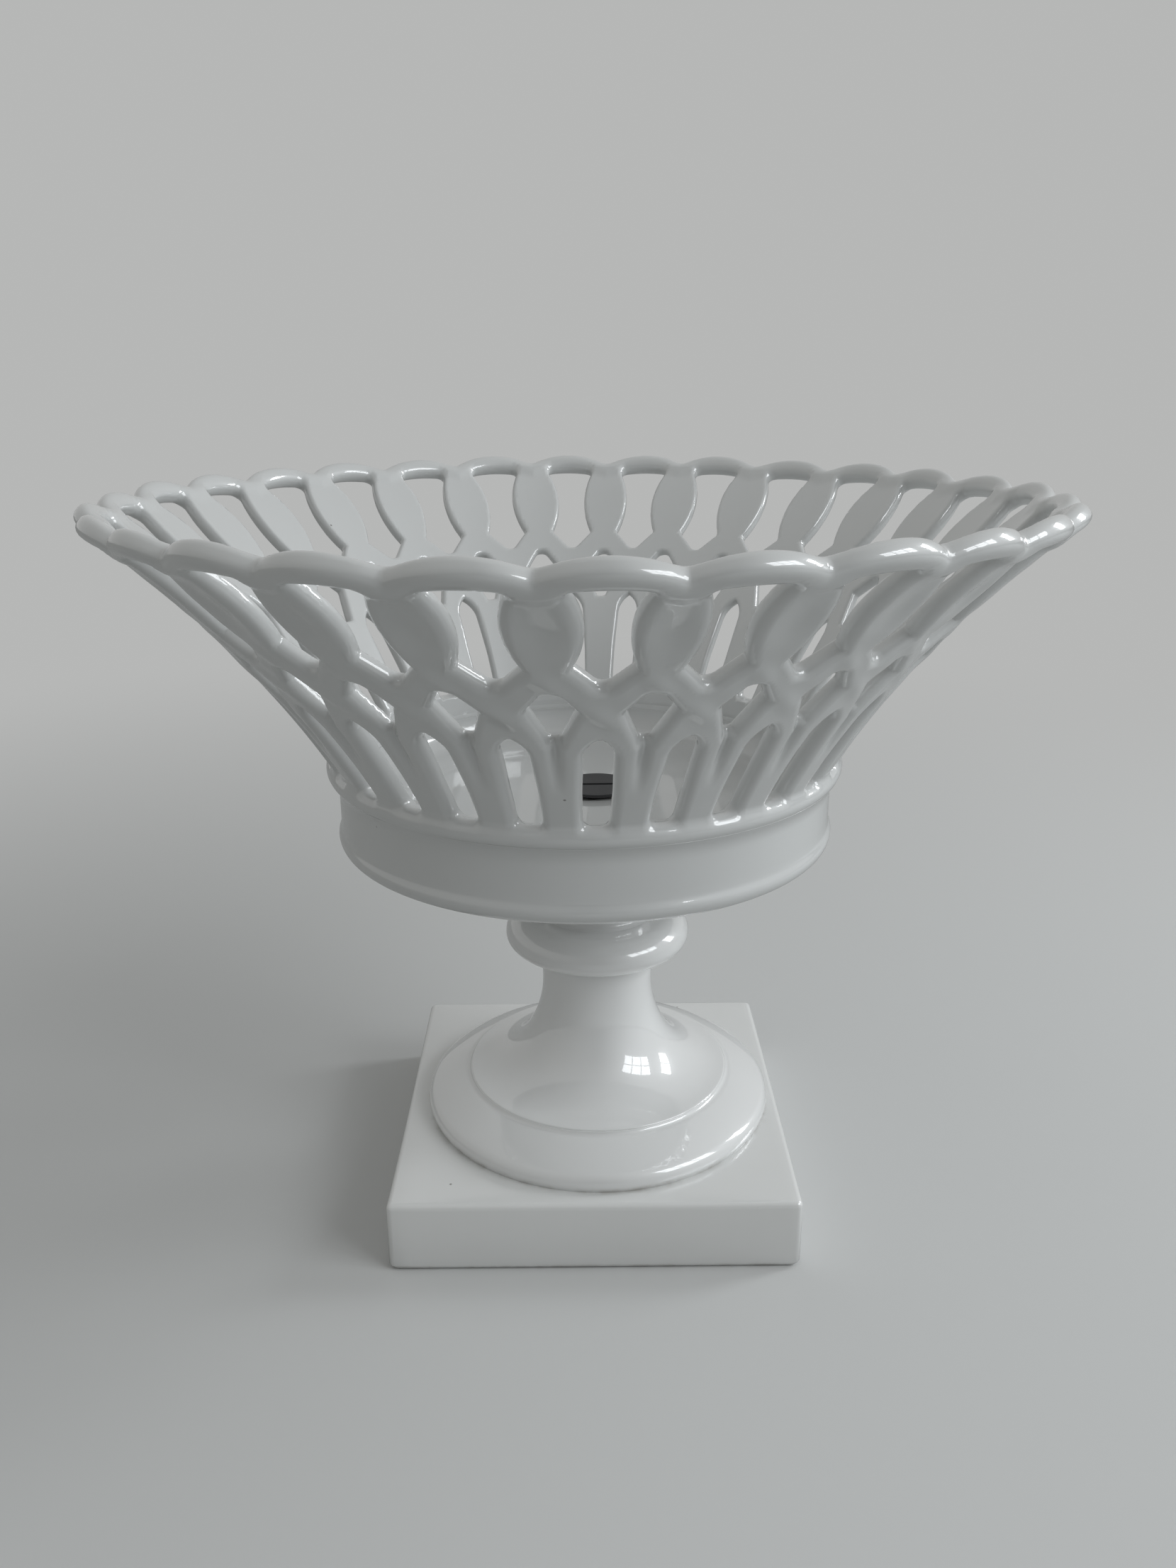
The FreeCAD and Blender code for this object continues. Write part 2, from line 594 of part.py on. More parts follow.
def make_bolt():
    """Tie bolt with a flat disc head and a shallow slot."""
    shank = cylinder("bolt_shank", "{bolt_radius}", HEAD_BASE + " - (" + BOLT_END + ")", BOLT_END)
    head = cylinder("bolt_head", "{head_radius}", "{head_thickness}", HEAD_BASE)
    blank = doc.addObject("Part::Fuse", "bolt_blank")
    blank.Base = shank
    blank.Tool = head
    slot = doc.addObject("Part::Box", "bolt_slot")
    slot.setExpression("Length", in_sheet("2 * ({head_radius} - {slot_margin})"))
    slot.setExpression("Width", in_sheet("{slot_width}"))
    slot.setExpression("Height", in_sheet("{slot_depth}"))
    across = "{pedestal_shift} - {head_radius} + {slot_margin}"
    back = "{pedestal_set_back} - {slot_width} / 2"
    up = HEAD_BASE + " + {head_thickness} - {slot_depth}"
    slot.setExpression("Placement.Base", in_sheet("vector(%s; %s; %s)" % (across, back, up)))
    finished_cut("tie_bolt", blank, slot)


def make_washers():
    bore = "{bolt_radius} + {washer_clearance}"
    ring("head_washer", "{head_washer_radius}", bore, "{head_washer_thickness}", FLOOR_TOP)
    ring("deck_gasket", "{deck_gasket_radius}", bore, "{deck_gasket_thickness}", PLATE_TOP)
    ring("plate_washer", "{plate_washer_radius}", bore, "{plate_washer_thickness}", NUT_TOP)


def make_nut():
    blank = doc.addObject("Part::Prism", "nut_blank")
    blank.Polygon = 6
    blank.setExpression("Circumradius", in_sheet("{nut_corner_radius}"))
    blank.setExpression("Height", in_sheet("{nut_height}"))
    under = NUT_TOP + " - {nut_height}"
    place(blank, PEDESTAL, under)
    thread = cylinder("nut_thread", "{bolt_radius}", "{nut_height}", under)
    finished_cut("tie_nut", blank, thread)


def check_model():
    """Stop if any object failed, or if any sub-part is not one sound solid."""
    for item in doc.Objects:
        failed = {"Invalid", "Error"} & set(item.State)
        if failed:
            raise RuntimeError("%s is %s" % (item.Name, ", ".join(failed)))
    for part in parts:
        shape = part.Shape
        if shape.isNull() or not shape.isValid():
            raise RuntimeError("%s has no sound shape" % part.Label)
        if len(shape.Solids) != 1:
            raise RuntimeError("%s has %d solids" % (part.Label, len(shape.Solids)))


make_plinth()
make_foot()
make_stem()
make_knop()
make_neck()
make_seat_gasket()
make_floor()
make_drum()
make_wall(make_rim())
make_bolt()
make_washers()
make_nut()
doc.recompute()
check_model()

os.makedirs("parts", exist_ok=True)
for part in parts:
    part.Shape.exportStep("parts/%s.step" % part.Label)
    print("%-14s %10.0f mm3" % (part.Label, part.Shape.Volume))
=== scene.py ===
"""Looks of the footed fruit basket: pierced white porcelain on a pale studio floor."""

import math

import bmesh
import bpy
import numpy as np
from mathutils import Matrix, Vector


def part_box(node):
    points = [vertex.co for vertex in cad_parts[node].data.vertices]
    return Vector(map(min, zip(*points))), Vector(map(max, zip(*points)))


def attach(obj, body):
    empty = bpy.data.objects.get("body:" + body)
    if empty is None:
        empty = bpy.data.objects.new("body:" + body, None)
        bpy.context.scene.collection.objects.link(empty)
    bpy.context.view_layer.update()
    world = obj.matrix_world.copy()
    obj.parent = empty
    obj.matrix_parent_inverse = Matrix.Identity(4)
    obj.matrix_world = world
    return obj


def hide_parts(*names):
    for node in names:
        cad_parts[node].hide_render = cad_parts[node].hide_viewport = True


MM = 0.001
TAU = 2 * math.pi

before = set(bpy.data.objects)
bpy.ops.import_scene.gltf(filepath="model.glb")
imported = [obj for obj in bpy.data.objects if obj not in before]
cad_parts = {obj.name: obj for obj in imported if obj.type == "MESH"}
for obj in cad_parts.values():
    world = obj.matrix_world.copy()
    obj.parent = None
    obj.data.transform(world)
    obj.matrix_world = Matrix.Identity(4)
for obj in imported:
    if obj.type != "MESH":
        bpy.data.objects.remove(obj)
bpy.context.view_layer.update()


def node_axis(node):
    """Where the upright axis of a turned CAD node stands."""
    low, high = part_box(node)
    return (low.x + high.x) / 2, (low.y + high.y) / 2


def node_radius(node):
    """Widest radius of a turned CAD node about its own axis."""
    low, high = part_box(node)
    return (high.x - low.x) / 2


# Driving places, read from the frame. The basket stands on the Z axis, the pedestal to the right and behind.
BASKET = (0.0, 0.0)
PEDESTAL = node_axis("stem")
PLINTH = node_axis("square_plinth")
PLINTH_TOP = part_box("square_plinth")[1].z
FOOT_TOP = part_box("round_foot")[1].z
STEM_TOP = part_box("stem")[1].z
KNOP_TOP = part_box("knop")[1].z
NECK_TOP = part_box("flared_neck")[1].z
FLOOR_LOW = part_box("basket_floor")[0].z
FLOOR_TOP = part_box("basket_floor")[1].z
DRUM_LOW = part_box("drum_collar")[0].z

# The bolt's bore, and the turn of the plinth against the basket
BOLT_HOLE = 4.5 * MM
PLINTH_TURN = math.radians(-0.7)

# Drum under the openwork. Its inner face leans outwards over the last part of its height.
DRUM_RADIUS = 78.7 * MM
DRUM_BORE = 73.7 * MM
DRUM_HEIGHT = 28.6 * MM
DRUM_TOP = DRUM_LOW + DRUM_HEIGHT
LEAN_TALL = 8.6 * MM
LEAN_OUT = 1.23 * MM
BEAD_RADIUS = 3.3 * MM
BEAD_DROP = 2.8 * MM
DRUM_UNEVEN = 0.22 * MM
DRUM_SEED = 1

# Openwork wall. Slant is measured along the outside of the wall, up from the top of the drum.
REPEATS = 28
PITCH = TAU / REPEATS
LATTICE_TURN = math.radians(-94.94)
WALL_CURVE = 280.3 * MM
WALL_THICKNESS = 5.0 * MM
FOOT_SLOPE = math.radians(60.75)
RIM_SLOPE = math.radians(41.7)
FOOT_RADIUS = 80.66 * MM
ARC_ACROSS = FOOT_RADIUS + WALL_CURVE * math.sin(FOOT_SLOPE)
ARC_UP = DRUM_TOP - WALL_CURVE * math.cos(FOOT_SLOPE)
RIM_SLANT = WALL_CURVE * (FOOT_SLOPE - RIM_SLOPE)


def wall_point(slant, depth):
    """Radius and height at a slant and at a distance outwards from the face of the wall."""
    slope = FOOT_SLOPE - slant / WALL_CURVE
    reach = WALL_CURVE - depth
    return ARC_ACROSS - reach * np.sin(slope), ARC_UP + reach * np.cos(slope)


# Rolled rim: a flattened tube that rises and swells over each window, with a crease over each leaf
RIM_TALL = 3.5 * MM
RIM_DEEP = 3.2 * MM
RIM_CREASE_TUBE = 2.45 * MM
RIM_SQUARENESS = 2.4
RIM_RISE = 4.0 * MM
RIM_CREASE = 0.12
RIM_HALF_CHORD = wall_point(RIM_SLANT, 0)[0] * math.sin(PITCH / 2)


# Shapes of outlines


def arc_between(start, end, radius, hand, steps):
    """Points of an arc of under half a turn, ends included. Hand +1 bulges to the right of its way."""
    start, end = np.array(start, float), np.array(end, float)
    chord = end - start
    half = np.hypot(*chord) / 2
    inward = np.array([-chord[1], chord[0]]) / (2 * half) * hand
    centre = (start + end) / 2 + inward * math.sqrt(max(radius ** 2 - half ** 2, 0))
    first = math.atan2(*(start - centre)[::-1])
    sweep = math.atan2(*(end - centre)[::-1]) - first
    sweep = (sweep + math.pi) % TAU - math.pi
    angles = first + sweep * np.linspace(0, 1, steps + 1)
    return [tuple(centre + radius * np.array([math.cos(a), math.sin(a)])) for a in angles]


def blend_line(start, end, steps):
    """Points from start to end with upright ends, as a swelling fades into a straight band."""
    shares = np.linspace(0, 1, steps + 1)
    eased = shares * shares * (3 - 2 * shares)
    return [(start[0] + (end[0] - start[0]) * e, start[1] + (end[1] - start[1]) * s)
            for e, s in zip(eased, shares)]


def soften(outline, radius, sharpest=math.radians(24), steps=6):
    """Replace each sharp corner of a closed outline by a small curve."""
    widest_turn = 2.6
    most_of_side = 0.45
    soft = []
    count = len(outline)
    for i in range(count):
        before, here, after = (np.array(outline[(i + k) % count], float) for k in (-1, 0, 1))
        inbound, outbound = here - before, after - here
        turn = math.atan2(inbound[0] * outbound[1] - inbound[1] * outbound[0], inbound @ outbound)
        if abs(turn) < sharpest:
            soft.append(tuple(here))
            continue
        run = radius * math.tan(min(abs(turn), widest_turn) / 2)
        run = min(run, most_of_side * np.hypot(*inbound), most_of_side * np.hypot(*outbound))
        first = here - inbound / np.hypot(*inbound) * run
        last = here + outbound / np.hypot(*outbound) * run
        for share in np.linspace(0, 1, steps + 1):
            point = first * (1 - share) ** 2 + here * 2 * share * (1 - share) + last * share ** 2
            soft.append(tuple(point))
    return soft


def refine(outline, longest):
    """Cut long straight runs of a closed outline so that waviness and shading stay even."""
    fine = []
    for here, after in zip(outline, outline[1:] + outline[:1]):
        pieces = max(1, math.ceil(math.dist(here, after) / longest))
        for k in range(pieces):
            share = k / pieces
            fine.append(tuple(h + (a - h) * share for h, a in zip(here, after)))
    return fine


# Mesh helpers


def add_mesh(name, points, faces, normals=None):
    mesh = bpy.data.meshes.new(name)
    mesh.from_pydata(points, [], faces)
    mesh.validate()
    mesh.update()
    mesh.shade_smooth()
    if normals is not None:
        mesh.normals_split_custom_set_from_vertices(normals)
    obj = bpy.data.objects.new(name, mesh)
    bpy.context.scene.collection.objects.link(obj)
    return obj


def waver(angle, height, seed):
    """Slow unevenness of hand-finished porcelain, between about -1 and 1."""
    return (0.5 * np.sin(2 * angle + 1.3 * seed + 22 * height)
            + 0.3 * np.sin(3 * angle - 2.1 * seed + 61 * height)
            + 0.2 * np.sin(5 * angle + 0.7 * seed - 97 * height))


def turned(name, outline, axis, unevenness, seed, segments=288):
    """A thrown piece: a closed outline of radii and heights turned about an upright axis."""
    profile = np.array(outline)
    angles = TAU * np.arange(segments) / segments
    angle, radius = np.meshgrid(angles, profile[:, 0], indexing="ij")
    height = np.broadcast_to(profile[:, 1], radius.shape)
    radius = radius + unevenness * waver(angle, height, seed)
    lift = 0.4 * unevenness * waver(angle + 1, radius, seed + 5)
    points = np.stack([axis[0] + radius * np.cos(angle), axis[1] + radius * np.sin(angle), height + lift], -1)
    rows = len(profile)
    here = np.arange(segments)[:, None] * rows
    there = (np.arange(segments)[:, None] + 1) % segments * rows
    low, high = np.arange(rows), (np.arange(rows) + 1) % rows
    faces = np.stack([here + low, there + low, there + high, here + high], -1).reshape(-1, 4)
    return add_mesh(name, points.reshape(-1, 3).tolist(), faces.tolist())


# Openings of the openwork, each drawn about its own middle: across to the right, slant upwards

WINDOW_SLANT = 62.0 * MM
WINDOW_HALF = 7.6 * MM
WINDOW_TIP_HALF = 1.8 * MM
WINDOW_TIP_DROP = 6.6 * MM
WINDOW_TIP_POINT = 0.7 * MM
WINDOW_TIP_CURVE = 2.5 * MM
WINDOW_TOP_HALF = 10.5 * MM
WINDOW_RISE = 31.2 * MM
WINDOW_OVERRUN = 8.0 * MM
LEAF_SIDE_CURVE = 34.5 * MM
DIAMOND_SLANT = 45.8 * MM
DIAMOND_HALF = 6.2 * MM
DIAMOND_TOP_HALF = 2.0 * MM
DIAMOND_TOP_RISE = 6.5 * MM
DIAMOND_TOP_CURVE = 3.0 * MM
DIAMOND_FOOT_HALF = 1.4 * MM
DIAMOND_FOOT_DROP = 12.0 * MM
LANCET_SLANT = 12.67 * MM
LANCET_HALF = 3.95 * MM
LANCET_FOOT_HALF = 3.6 * MM
LANCET_FOOT_DROP = 16.0 * MM
LANCET_SHOULDER_HALF = 3.7 * MM
LANCET_SHOULDER_RISE = 15.8 * MM
LANCET_POINT_RISE = 6.5 * MM
LANCET_CURVE = 9.0 * MM


def mirrored(right):
    """Close an outline whose right half runs upwards."""
    return right + [(-across, up) for across, up in reversed(right) if across > 0]


def window_outline():
    tip = arc_between((0, -WINDOW_TIP_DROP - WINDOW_TIP_POINT), (WINDOW_TIP_HALF, -WINDOW_TIP_DROP),
                      WINDOW_TIP_CURVE, 1, 3)
    side = arc_between((WINDOW_HALF, 0), (WINDOW_TOP_HALF, WINDOW_RISE), LEAF_SIDE_CURVE, -1, 12)
    return mirrored(tip + side + [(WINDOW_TOP_HALF, WINDOW_RISE + WINDOW_OVERRUN)])


def diamond_outline():
    top = arc_between((DIAMOND_TOP_HALF, DIAMOND_TOP_RISE), (-DIAMOND_TOP_HALF, DIAMOND_TOP_RISE),
                      DIAMOND_TOP_CURVE, 1, 6)
    foot = [(-DIAMOND_FOOT_HALF, -DIAMOND_FOOT_DROP), (DIAMOND_FOOT_HALF, -DIAMOND_FOOT_DROP)]
    return foot + [(DIAMOND_HALF, 0)] + top + [(-DIAMOND_HALF, 0)]


def lancet_outline():
    shoulder = (LANCET_SHOULDER_HALF, LANCET_SHOULDER_RISE)
    point = (0, LANCET_SHOULDER_RISE + LANCET_POINT_RISE)
    arch = arc_between(shoulder, point, LANCET_CURVE, 1, 6)
    return mirrored([(LANCET_FOOT_HALF, -LANCET_FOOT_DROP), (LANCET_HALF, 0)] + arch)


WINDOW = window_outline()
DIAMOND = diamond_outline()
LANCET = lancet_outline()


def outside_distance(across, up, outline):
    """Distance from places to a closed outline, negative inside it."""
    nearest = np.full(across.shape, np.inf)
    inside = np.zeros(across.shape, bool)
    for (x0, y0), (x1, y1) in zip(outline, outline[1:] + outline[:1]):
        dx, dy = x1 - x0, y1 - y0
        share = np.clip(((across - x0) * dx + (up - y0) * dy) / (dx * dx + dy * dy + 1e-18), 0, 1)
        nearest = np.minimum(nearest, np.hypot(across - x0 - share * dx, up - y0 - share * dy))
        crosses = (y0 > up) != (y1 > up)
        where = x0 + (up - y0) / (dy if dy else 1e-12) * dx
        inside ^= crosses & (across < where)
    return np.where(inside, -nearest, nearest)


def opening_distance(turn, slant):
    """Distance to the nearest opening. Turn counts repeats of the lattice, with a window at 0."""
    pitch_here = PITCH * wall_point(slant, 0)[0]
    turn = (turn + 0.5) % 1 - 0.5
    other = np.where(turn > 0, turn - 0.5, turn + 0.5)
    distance = outside_distance(turn * pitch_here, slant - WINDOW_SLANT, WINDOW)
    distance = np.minimum(distance, outside_distance(turn * pitch_here, slant - LANCET_SLANT, LANCET))
    return np.minimum(distance, outside_distance(other * pitch_here, slant - DIAMOND_SLANT, DIAMOND))


# Fields: each is positive inside its shape, and about the distance to its surface near that


def smooth_max(a, b, width):
    return np.maximum(a, b) + np.maximum(width - np.abs(a - b), 0) ** 2 / (4 * width)


def smooth_min(a, b, width):
    return -smooth_max(-a, -b, width)


def step(low, high, value):
    """Smooth step from 0 at low to 1 at high."""
    share = np.clip((value - low) / (high - low), 0, 1)
    return share * share * (3 - 2 * share)


def hump(distance, wide):
    """Bell curve: 1 in the middle and next to nothing at twice the width."""
    return np.exp(-(distance / wide) ** 2)


def corner(across, deep, round_across, round_deep):
    """Field near a rounded edge, from the distances to its two faces."""
    reach = np.hypot(np.maximum(1 - across / round_across, 0), np.maximum(1 - deep / round_deep, 0))
    return round_across * (1 - reach)


def line_distance(across, up, start, end):
    """Signed distance to the line through two places."""
    dx, dy = end[0] - start[0], end[1] - start[1]
    return ((across - start[0]) * dy - (up - start[1]) * dx) / math.hypot(dx, dy)


# Carving of the outside: heights, places, half widths, and the ranges over which each form fades in or out
LEAF_FOOT = (61.0 * MM, 70.0 * MM)
LEAF_HEAD = (80.0 * MM, 92.0 * MM)
LEAF_BORDER = 0.4 * MM
LEAF_BORDER_EDGE = (0.8 * MM, 3.4 * MM)
LEAF_DISH = 1.1 * MM
LEAF_DISH_SLANT = 78.0 * MM
LEAF_DISH_WIDE = 5.2 * MM
LEAF_DISH_TALL = 9.5 * MM
STRAP_PROUD = 0.8 * MM
STRAP_SUNK = 0.45 * MM
STRAP_WIDE = 3.4 * MM
CROSS_SLANT = 45.2 * MM
CROSS_LEAN = 12.0 * MM
CROSS_FOOT = 33.0 * MM
CROSS_REACH = 6.5 * MM
WAIST_SLANT = 57.4 * MM
WAIST_LEAN = 6.0 * MM
WAIST_FALL = 8.0 * MM
WAIST_REACH = 6.0 * MM
GROOVE_DEEP = 1.9 * MM
GROOVE_WIDE = 1.5 * MM
GROOVE_FOOT = (12.0 * MM, 31.0 * MM)
GROOVE_HEAD = (33.8 * MM, 36.8 * MM)


def crossing(away, beside_strap, reach):
    """One strap over another: the upper one stands proud, the lower one dips on both sides of it."""
    return hump(away, reach) * (STRAP_PROUD * hump(beside_strap, STRAP_WIDE) - STRAP_SUNK)


def relief(turn, slant, distance):
    """How far the outside stands proud: dished leaves, crossing straps and grooves between them."""
    turn = (turn + 0.5) % 1 - 0.5
    pitch_here = PITCH * wall_point(slant, 0)[0]
    half = pitch_here / 2
    across = turn * pitch_here
    beside = np.abs(half - np.abs(across))
    signed = np.where(across > 0, across - half, across + half)
    leaf = step(*LEAF_FOOT, slant) * (1 - step(*LEAF_HEAD, slant))
    dish = hump(beside, LEAF_DISH_WIDE) * hump(slant - LEAF_DISH_SLANT, LEAF_DISH_TALL)
    lean_at_cross = line_distance(across, slant, (-CROSS_LEAN, WAIST_SLANT), (CROSS_LEAN, CROSS_FOOT))
    lean_at_waist = line_distance(signed, slant, (0, WAIST_SLANT), (WAIST_LEAN, WAIST_SLANT - WAIST_FALL))
    groove = hump(beside, GROOVE_WIDE) * step(*GROOVE_FOOT, slant) * (1 - step(*GROOVE_HEAD, slant))
    return (LEAF_BORDER * leaf * step(*LEAF_BORDER_EDGE, distance) - LEAF_DISH * dish
            + crossing(np.hypot(across, slant - CROSS_SLANT), lean_at_cross, CROSS_REACH)
            + crossing(np.hypot(beside, slant - WAIST_SLANT), lean_at_waist, WAIST_REACH)
            - GROOVE_DEEP * groove)


# Roundings of the openwork, and how it runs out into drum and rim
OUTER_ROUND_ACROSS = 2.6 * MM
OUTER_ROUND_DEEP = 2.6 * MM
INNER_ROUND_ACROSS = 1.3 * MM
INNER_ROUND_DEEP = 1.5 * MM
WALL_INTO_RIM = 0.8 * MM
RIM_FILLET = 3.4 * MM
BASE_FILLET = 2.6 * MM
SILL_RISE = 0.1 * MM
SILL_ROUND = 2.4 * MM
SLAB_INSET = 0.5 * MM
OPENWORK_ROOT = 8.3 * MM
ROOT_DRAWN_BACK = 0.2
ROOT_DRAWN_DROP = 6.0 * MM


def wall_field(turn, slant, depth):
    distance = np.minimum(opening_distance(turn, slant), RIM_SLANT + WALL_INTO_RIM - slant)
    outside = relief(turn, slant, distance) - depth
    inside = depth + WALL_THICKNESS
    return np.minimum(corner(distance, outside, OUTER_ROUND_ACROSS, OUTER_ROUND_DEEP),
                      corner(distance, inside, INNER_ROUND_ACROSS, INNER_ROUND_DEEP))


def rim_field(turn, slant, depth):
    """Rolled rim. Away runs from 0 over the middle of a window to 1 at the crease."""
    away = 2 * np.abs(turn)
    softened = smooth_min(away, 2 - away, RIM_CREASE)
    swelling = 1 - softened ** 2
    middle = RIM_SLANT + RIM_RISE * swelling
    tall = RIM_CREASE_TUBE + (RIM_TALL - RIM_CREASE_TUBE) * swelling
    deep = RIM_CREASE_TUBE + (RIM_DEEP - RIM_CREASE_TUBE) * swelling
    lean = 2 * RIM_RISE * softened / RIM_HALF_CHORD
    along_slope = (slant - middle) / np.sqrt(1 + lean ** 2)
    inward = (depth + WALL_THICKNESS / 2) / deep
    reach = np.abs(along_slope / tall) ** RIM_SQUARENESS + np.abs(inward) ** RIM_SQUARENESS
    return deep * (1 - reach ** (1 / RIM_SQUARENESS))


def drum_inside(height):
    """Radius of the inner face of the drum: straight, then a lean out to the wall."""
    return DRUM_BORE + LEAN_OUT / LEAN_TALL * np.maximum(height - DRUM_TOP + LEAN_TALL, 0)


def inside_bore(radius, height):
    """Distance outwards from the bore of the drum. Low down it draws back behind the drum's own face."""
    drawn_back = ROOT_DRAWN_BACK * np.maximum(DRUM_TOP - ROOT_DRAWN_DROP - height, 0)
    return radius - drum_inside(height) - drawn_back


def base_field(radius, height):
    """Top of the drum with its half-round bead. The wall and its straps grow out of it."""
    bead = BEAD_RADIUS - np.hypot(radius - DRUM_RADIUS, height - DRUM_TOP + BEAD_DROP)
    slab = smooth_min(inside_bore(radius, height), DRUM_TOP + SILL_RISE - height, SILL_ROUND)
    slab = np.minimum(slab, DRUM_RADIUS - SLAB_INSET - radius)
    return np.maximum(slab, bead)


def openwork_field(turn, slant, depth):
    radius, height = wall_point(slant, depth)
    near = (turn + 0.5) % 1 - 0.5
    root = height - DRUM_TOP + OPENWORK_ROOT
    base = np.minimum(base_field(radius, height), root)
    body = smooth_max(wall_field(turn, slant, depth), base, BASE_FILLET)
    body = np.minimum(body, inside_bore(radius, height))
    body = np.minimum(body, root)
    return smooth_max(body, rim_field(near, slant, depth), RIM_FILLET)


# Grid over one repeat: places around, then lowest value, highest value and count of slants and of depths
GRID_TURN = 24
GRID_SLANT = (-12.6 * MM, 102.6 * MM, 98)
GRID_DEPTH = (-8.2 * MM, 5.6 * MM, 13)
SETTLING_STEPS = 6
FARTHEST_PUSH = 0.4 * MM
FLATTEST_SLOPE = 0.05


def field_slope(place):
    """Field, its slope along the three directions of the wall in real lengths, and the width of a repeat."""
    reach = 0.05 * MM
    turn, slant, depth = place.T
    arc = PITCH * wall_point(slant, depth)[0]
    value = openwork_field(turn, slant, depth)
    aside = reach / arc
    along = openwork_field(turn + aside, slant, depth) - openwork_field(turn - aside, slant, depth)
    upward = openwork_field(turn, slant + reach, depth) - openwork_field(turn, slant - reach, depth)
    outward = openwork_field(turn, slant, depth + reach) - openwork_field(turn, slant, depth - reach)
    return value, np.stack([along, upward, outward], -1) / (2 * reach), arc


def surface_cells(field):
    """Which grid cells the surface crosses, and where it crosses them, as the mean of its cuts."""
    total = np.zeros(field.shape + (3,))
    weight = np.zeros(field.shape)
    for axis in range(3):
        after = np.roll(field, -1, axis)
        cuts = (field > 0) != (after > 0)
        if axis:
            cuts[(slice(None),) * axis + (-1,)] = False
        spot = np.zeros(field.shape + (3,))
        spot[..., axis] = np.where(cuts, field / np.where(cuts, field - after, 1), 0)
        others = [other for other in range(3) if other != axis]
        for first in (0, 1):
            for second in (0, 1):
                move = [0, 0, 0]
                move[others[0]], move[others[1]] = first, second
                back = [-m for m in move]
                total += np.roll((spot + move) * cuts[..., None], back, (0, 1, 2))
                weight += np.roll(cuts, back, (0, 1, 2))
    crossed = weight > 0
    return crossed, total[crossed] / weight[crossed][:, None]


def openwork_surface():
    """Solid grid points, cell numbers, places and normals of the surface over one repeat of the lattice."""
    turns = np.arange(GRID_TURN) / GRID_TURN - 0.5
    slants = np.linspace(*GRID_SLANT)
    depths = np.linspace(*GRID_DEPTH)
    field = openwork_field(*np.meshgrid(turns, slants, depths, indexing="ij"))
    crossed, inside_cell = surface_cells(field)
    spacing = np.array([1 / GRID_TURN, slants[1] - slants[0], depths[1] - depths[0]])
    start = np.array([turns[0], slants[0], depths[0]])
    place = start + (np.argwhere(crossed) + inside_cell) * spacing
    for _ in range(SETTLING_STEPS):
        value, slope, arc = field_slope(place)
        push = value / np.maximum((slope ** 2).sum(1), FLATTEST_SLOPE)
        push = np.clip(push, -FARTHEST_PUSH, FARTHEST_PUSH)
        place -= slope * push[:, None] / np.stack([arc, np.ones_like(arc), np.ones_like(arc)], -1)
    slope = field_slope(place)[1]
    normal = -slope / np.maximum(np.linalg.norm(slope, axis=1), 1e-9)[:, None]
    number = np.full(field.shape, -1)
    number[crossed] = np.arange(len(place))
    return field > 0, number, place, normal


def ring_of_repeats(solid, number, place, normal):
    """Join all repeats of the lattice into one closed ring, with a quad for each cut edge of the grid."""
    per_repeat = len(place)
    ring_solid = np.tile(solid, (REPEATS, 1, 1))
    ring_number = np.concatenate([np.where(number < 0, -1, number + k * per_repeat) for k in range(REPEATS)])
    faces = []
    for axis in range(3):
        after = np.roll(ring_solid, -1, axis)
        cuts = ring_solid != after
        if axis:
            cuts[(slice(None),) * axis + (-1,)] = False
        first, second = [(1, 2), (2, 0), (0, 1)][axis]
        quad = []
        for back_first, back_second in ((0, 0), (1, 0), (1, 1), (0, 1)):
            quad.append(np.roll(ring_number, (back_first, back_second), (first, second))[cuts])
        quad = np.stack(quad, -1)
        flip = ring_solid[cuts]
        faces.append(np.where(flip[:, None], quad, quad[:, ::-1]))
    turn = np.concatenate([place[:, 0] + k for k in range(REPEATS)])
    slant = np.tile(place[:, 1], REPEATS)
    depth = np.tile(place[:, 2], REPEATS)
    return np.concatenate(faces), turn, slant, depth, np.tile(normal, (REPEATS, 1))


def make_openwork():
    """Leaves, straps, bead and rim as one fired surface, less even towards the rim."""
    drift, fine_drift, slant_drift = 0.35 * MM, 0.3 * MM, 0.35 * MM
    out_of_round, rim_wave = 0.7 * MM, 0.6 * MM
    faces, turn, slant, depth, normal = ring_of_repeats(*openwork_surface())
    angle = LATTICE_TURN + (turn - 0.5) * PITCH
    share = np.clip(slant / RIM_SLANT, 0, 1)
    sideways = drift * np.sin(9 * angle + 40 * slant) + fine_drift * np.sin(17 * angle - 75 * slant + 2)
    radius, height = wall_point(slant + slant_drift * share * np.sin(11 * angle + 1), depth)
    radius = radius + share * out_of_round * waver(angle, height, 2)
    height = height + share * rim_wave * waver(angle + 2, 0 * height, 4)
    swung = angle + share * sideways / radius
    slope = FOOT_SLOPE - slant / WALL_CURVE
    across = normal[:, 1] * np.cos(slope) + normal[:, 2] * np.sin(slope)
    upward = normal[:, 1] * np.sin(slope) - normal[:, 2] * np.cos(slope)
    points = np.stack([radius * np.cos(swung), radius * np.sin(swung), height], -1)
    normals = np.stack([across * np.cos(swung) - normal[:, 0] * np.sin(swung),
                        across * np.sin(swung) + normal[:, 0] * np.cos(swung), upward], -1)
    piece = add_mesh("openwork_basket", points.tolist(), faces.tolist(), normals)
    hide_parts("pierced_wall", "scalloped_rim")
    return piece


# Turned pieces


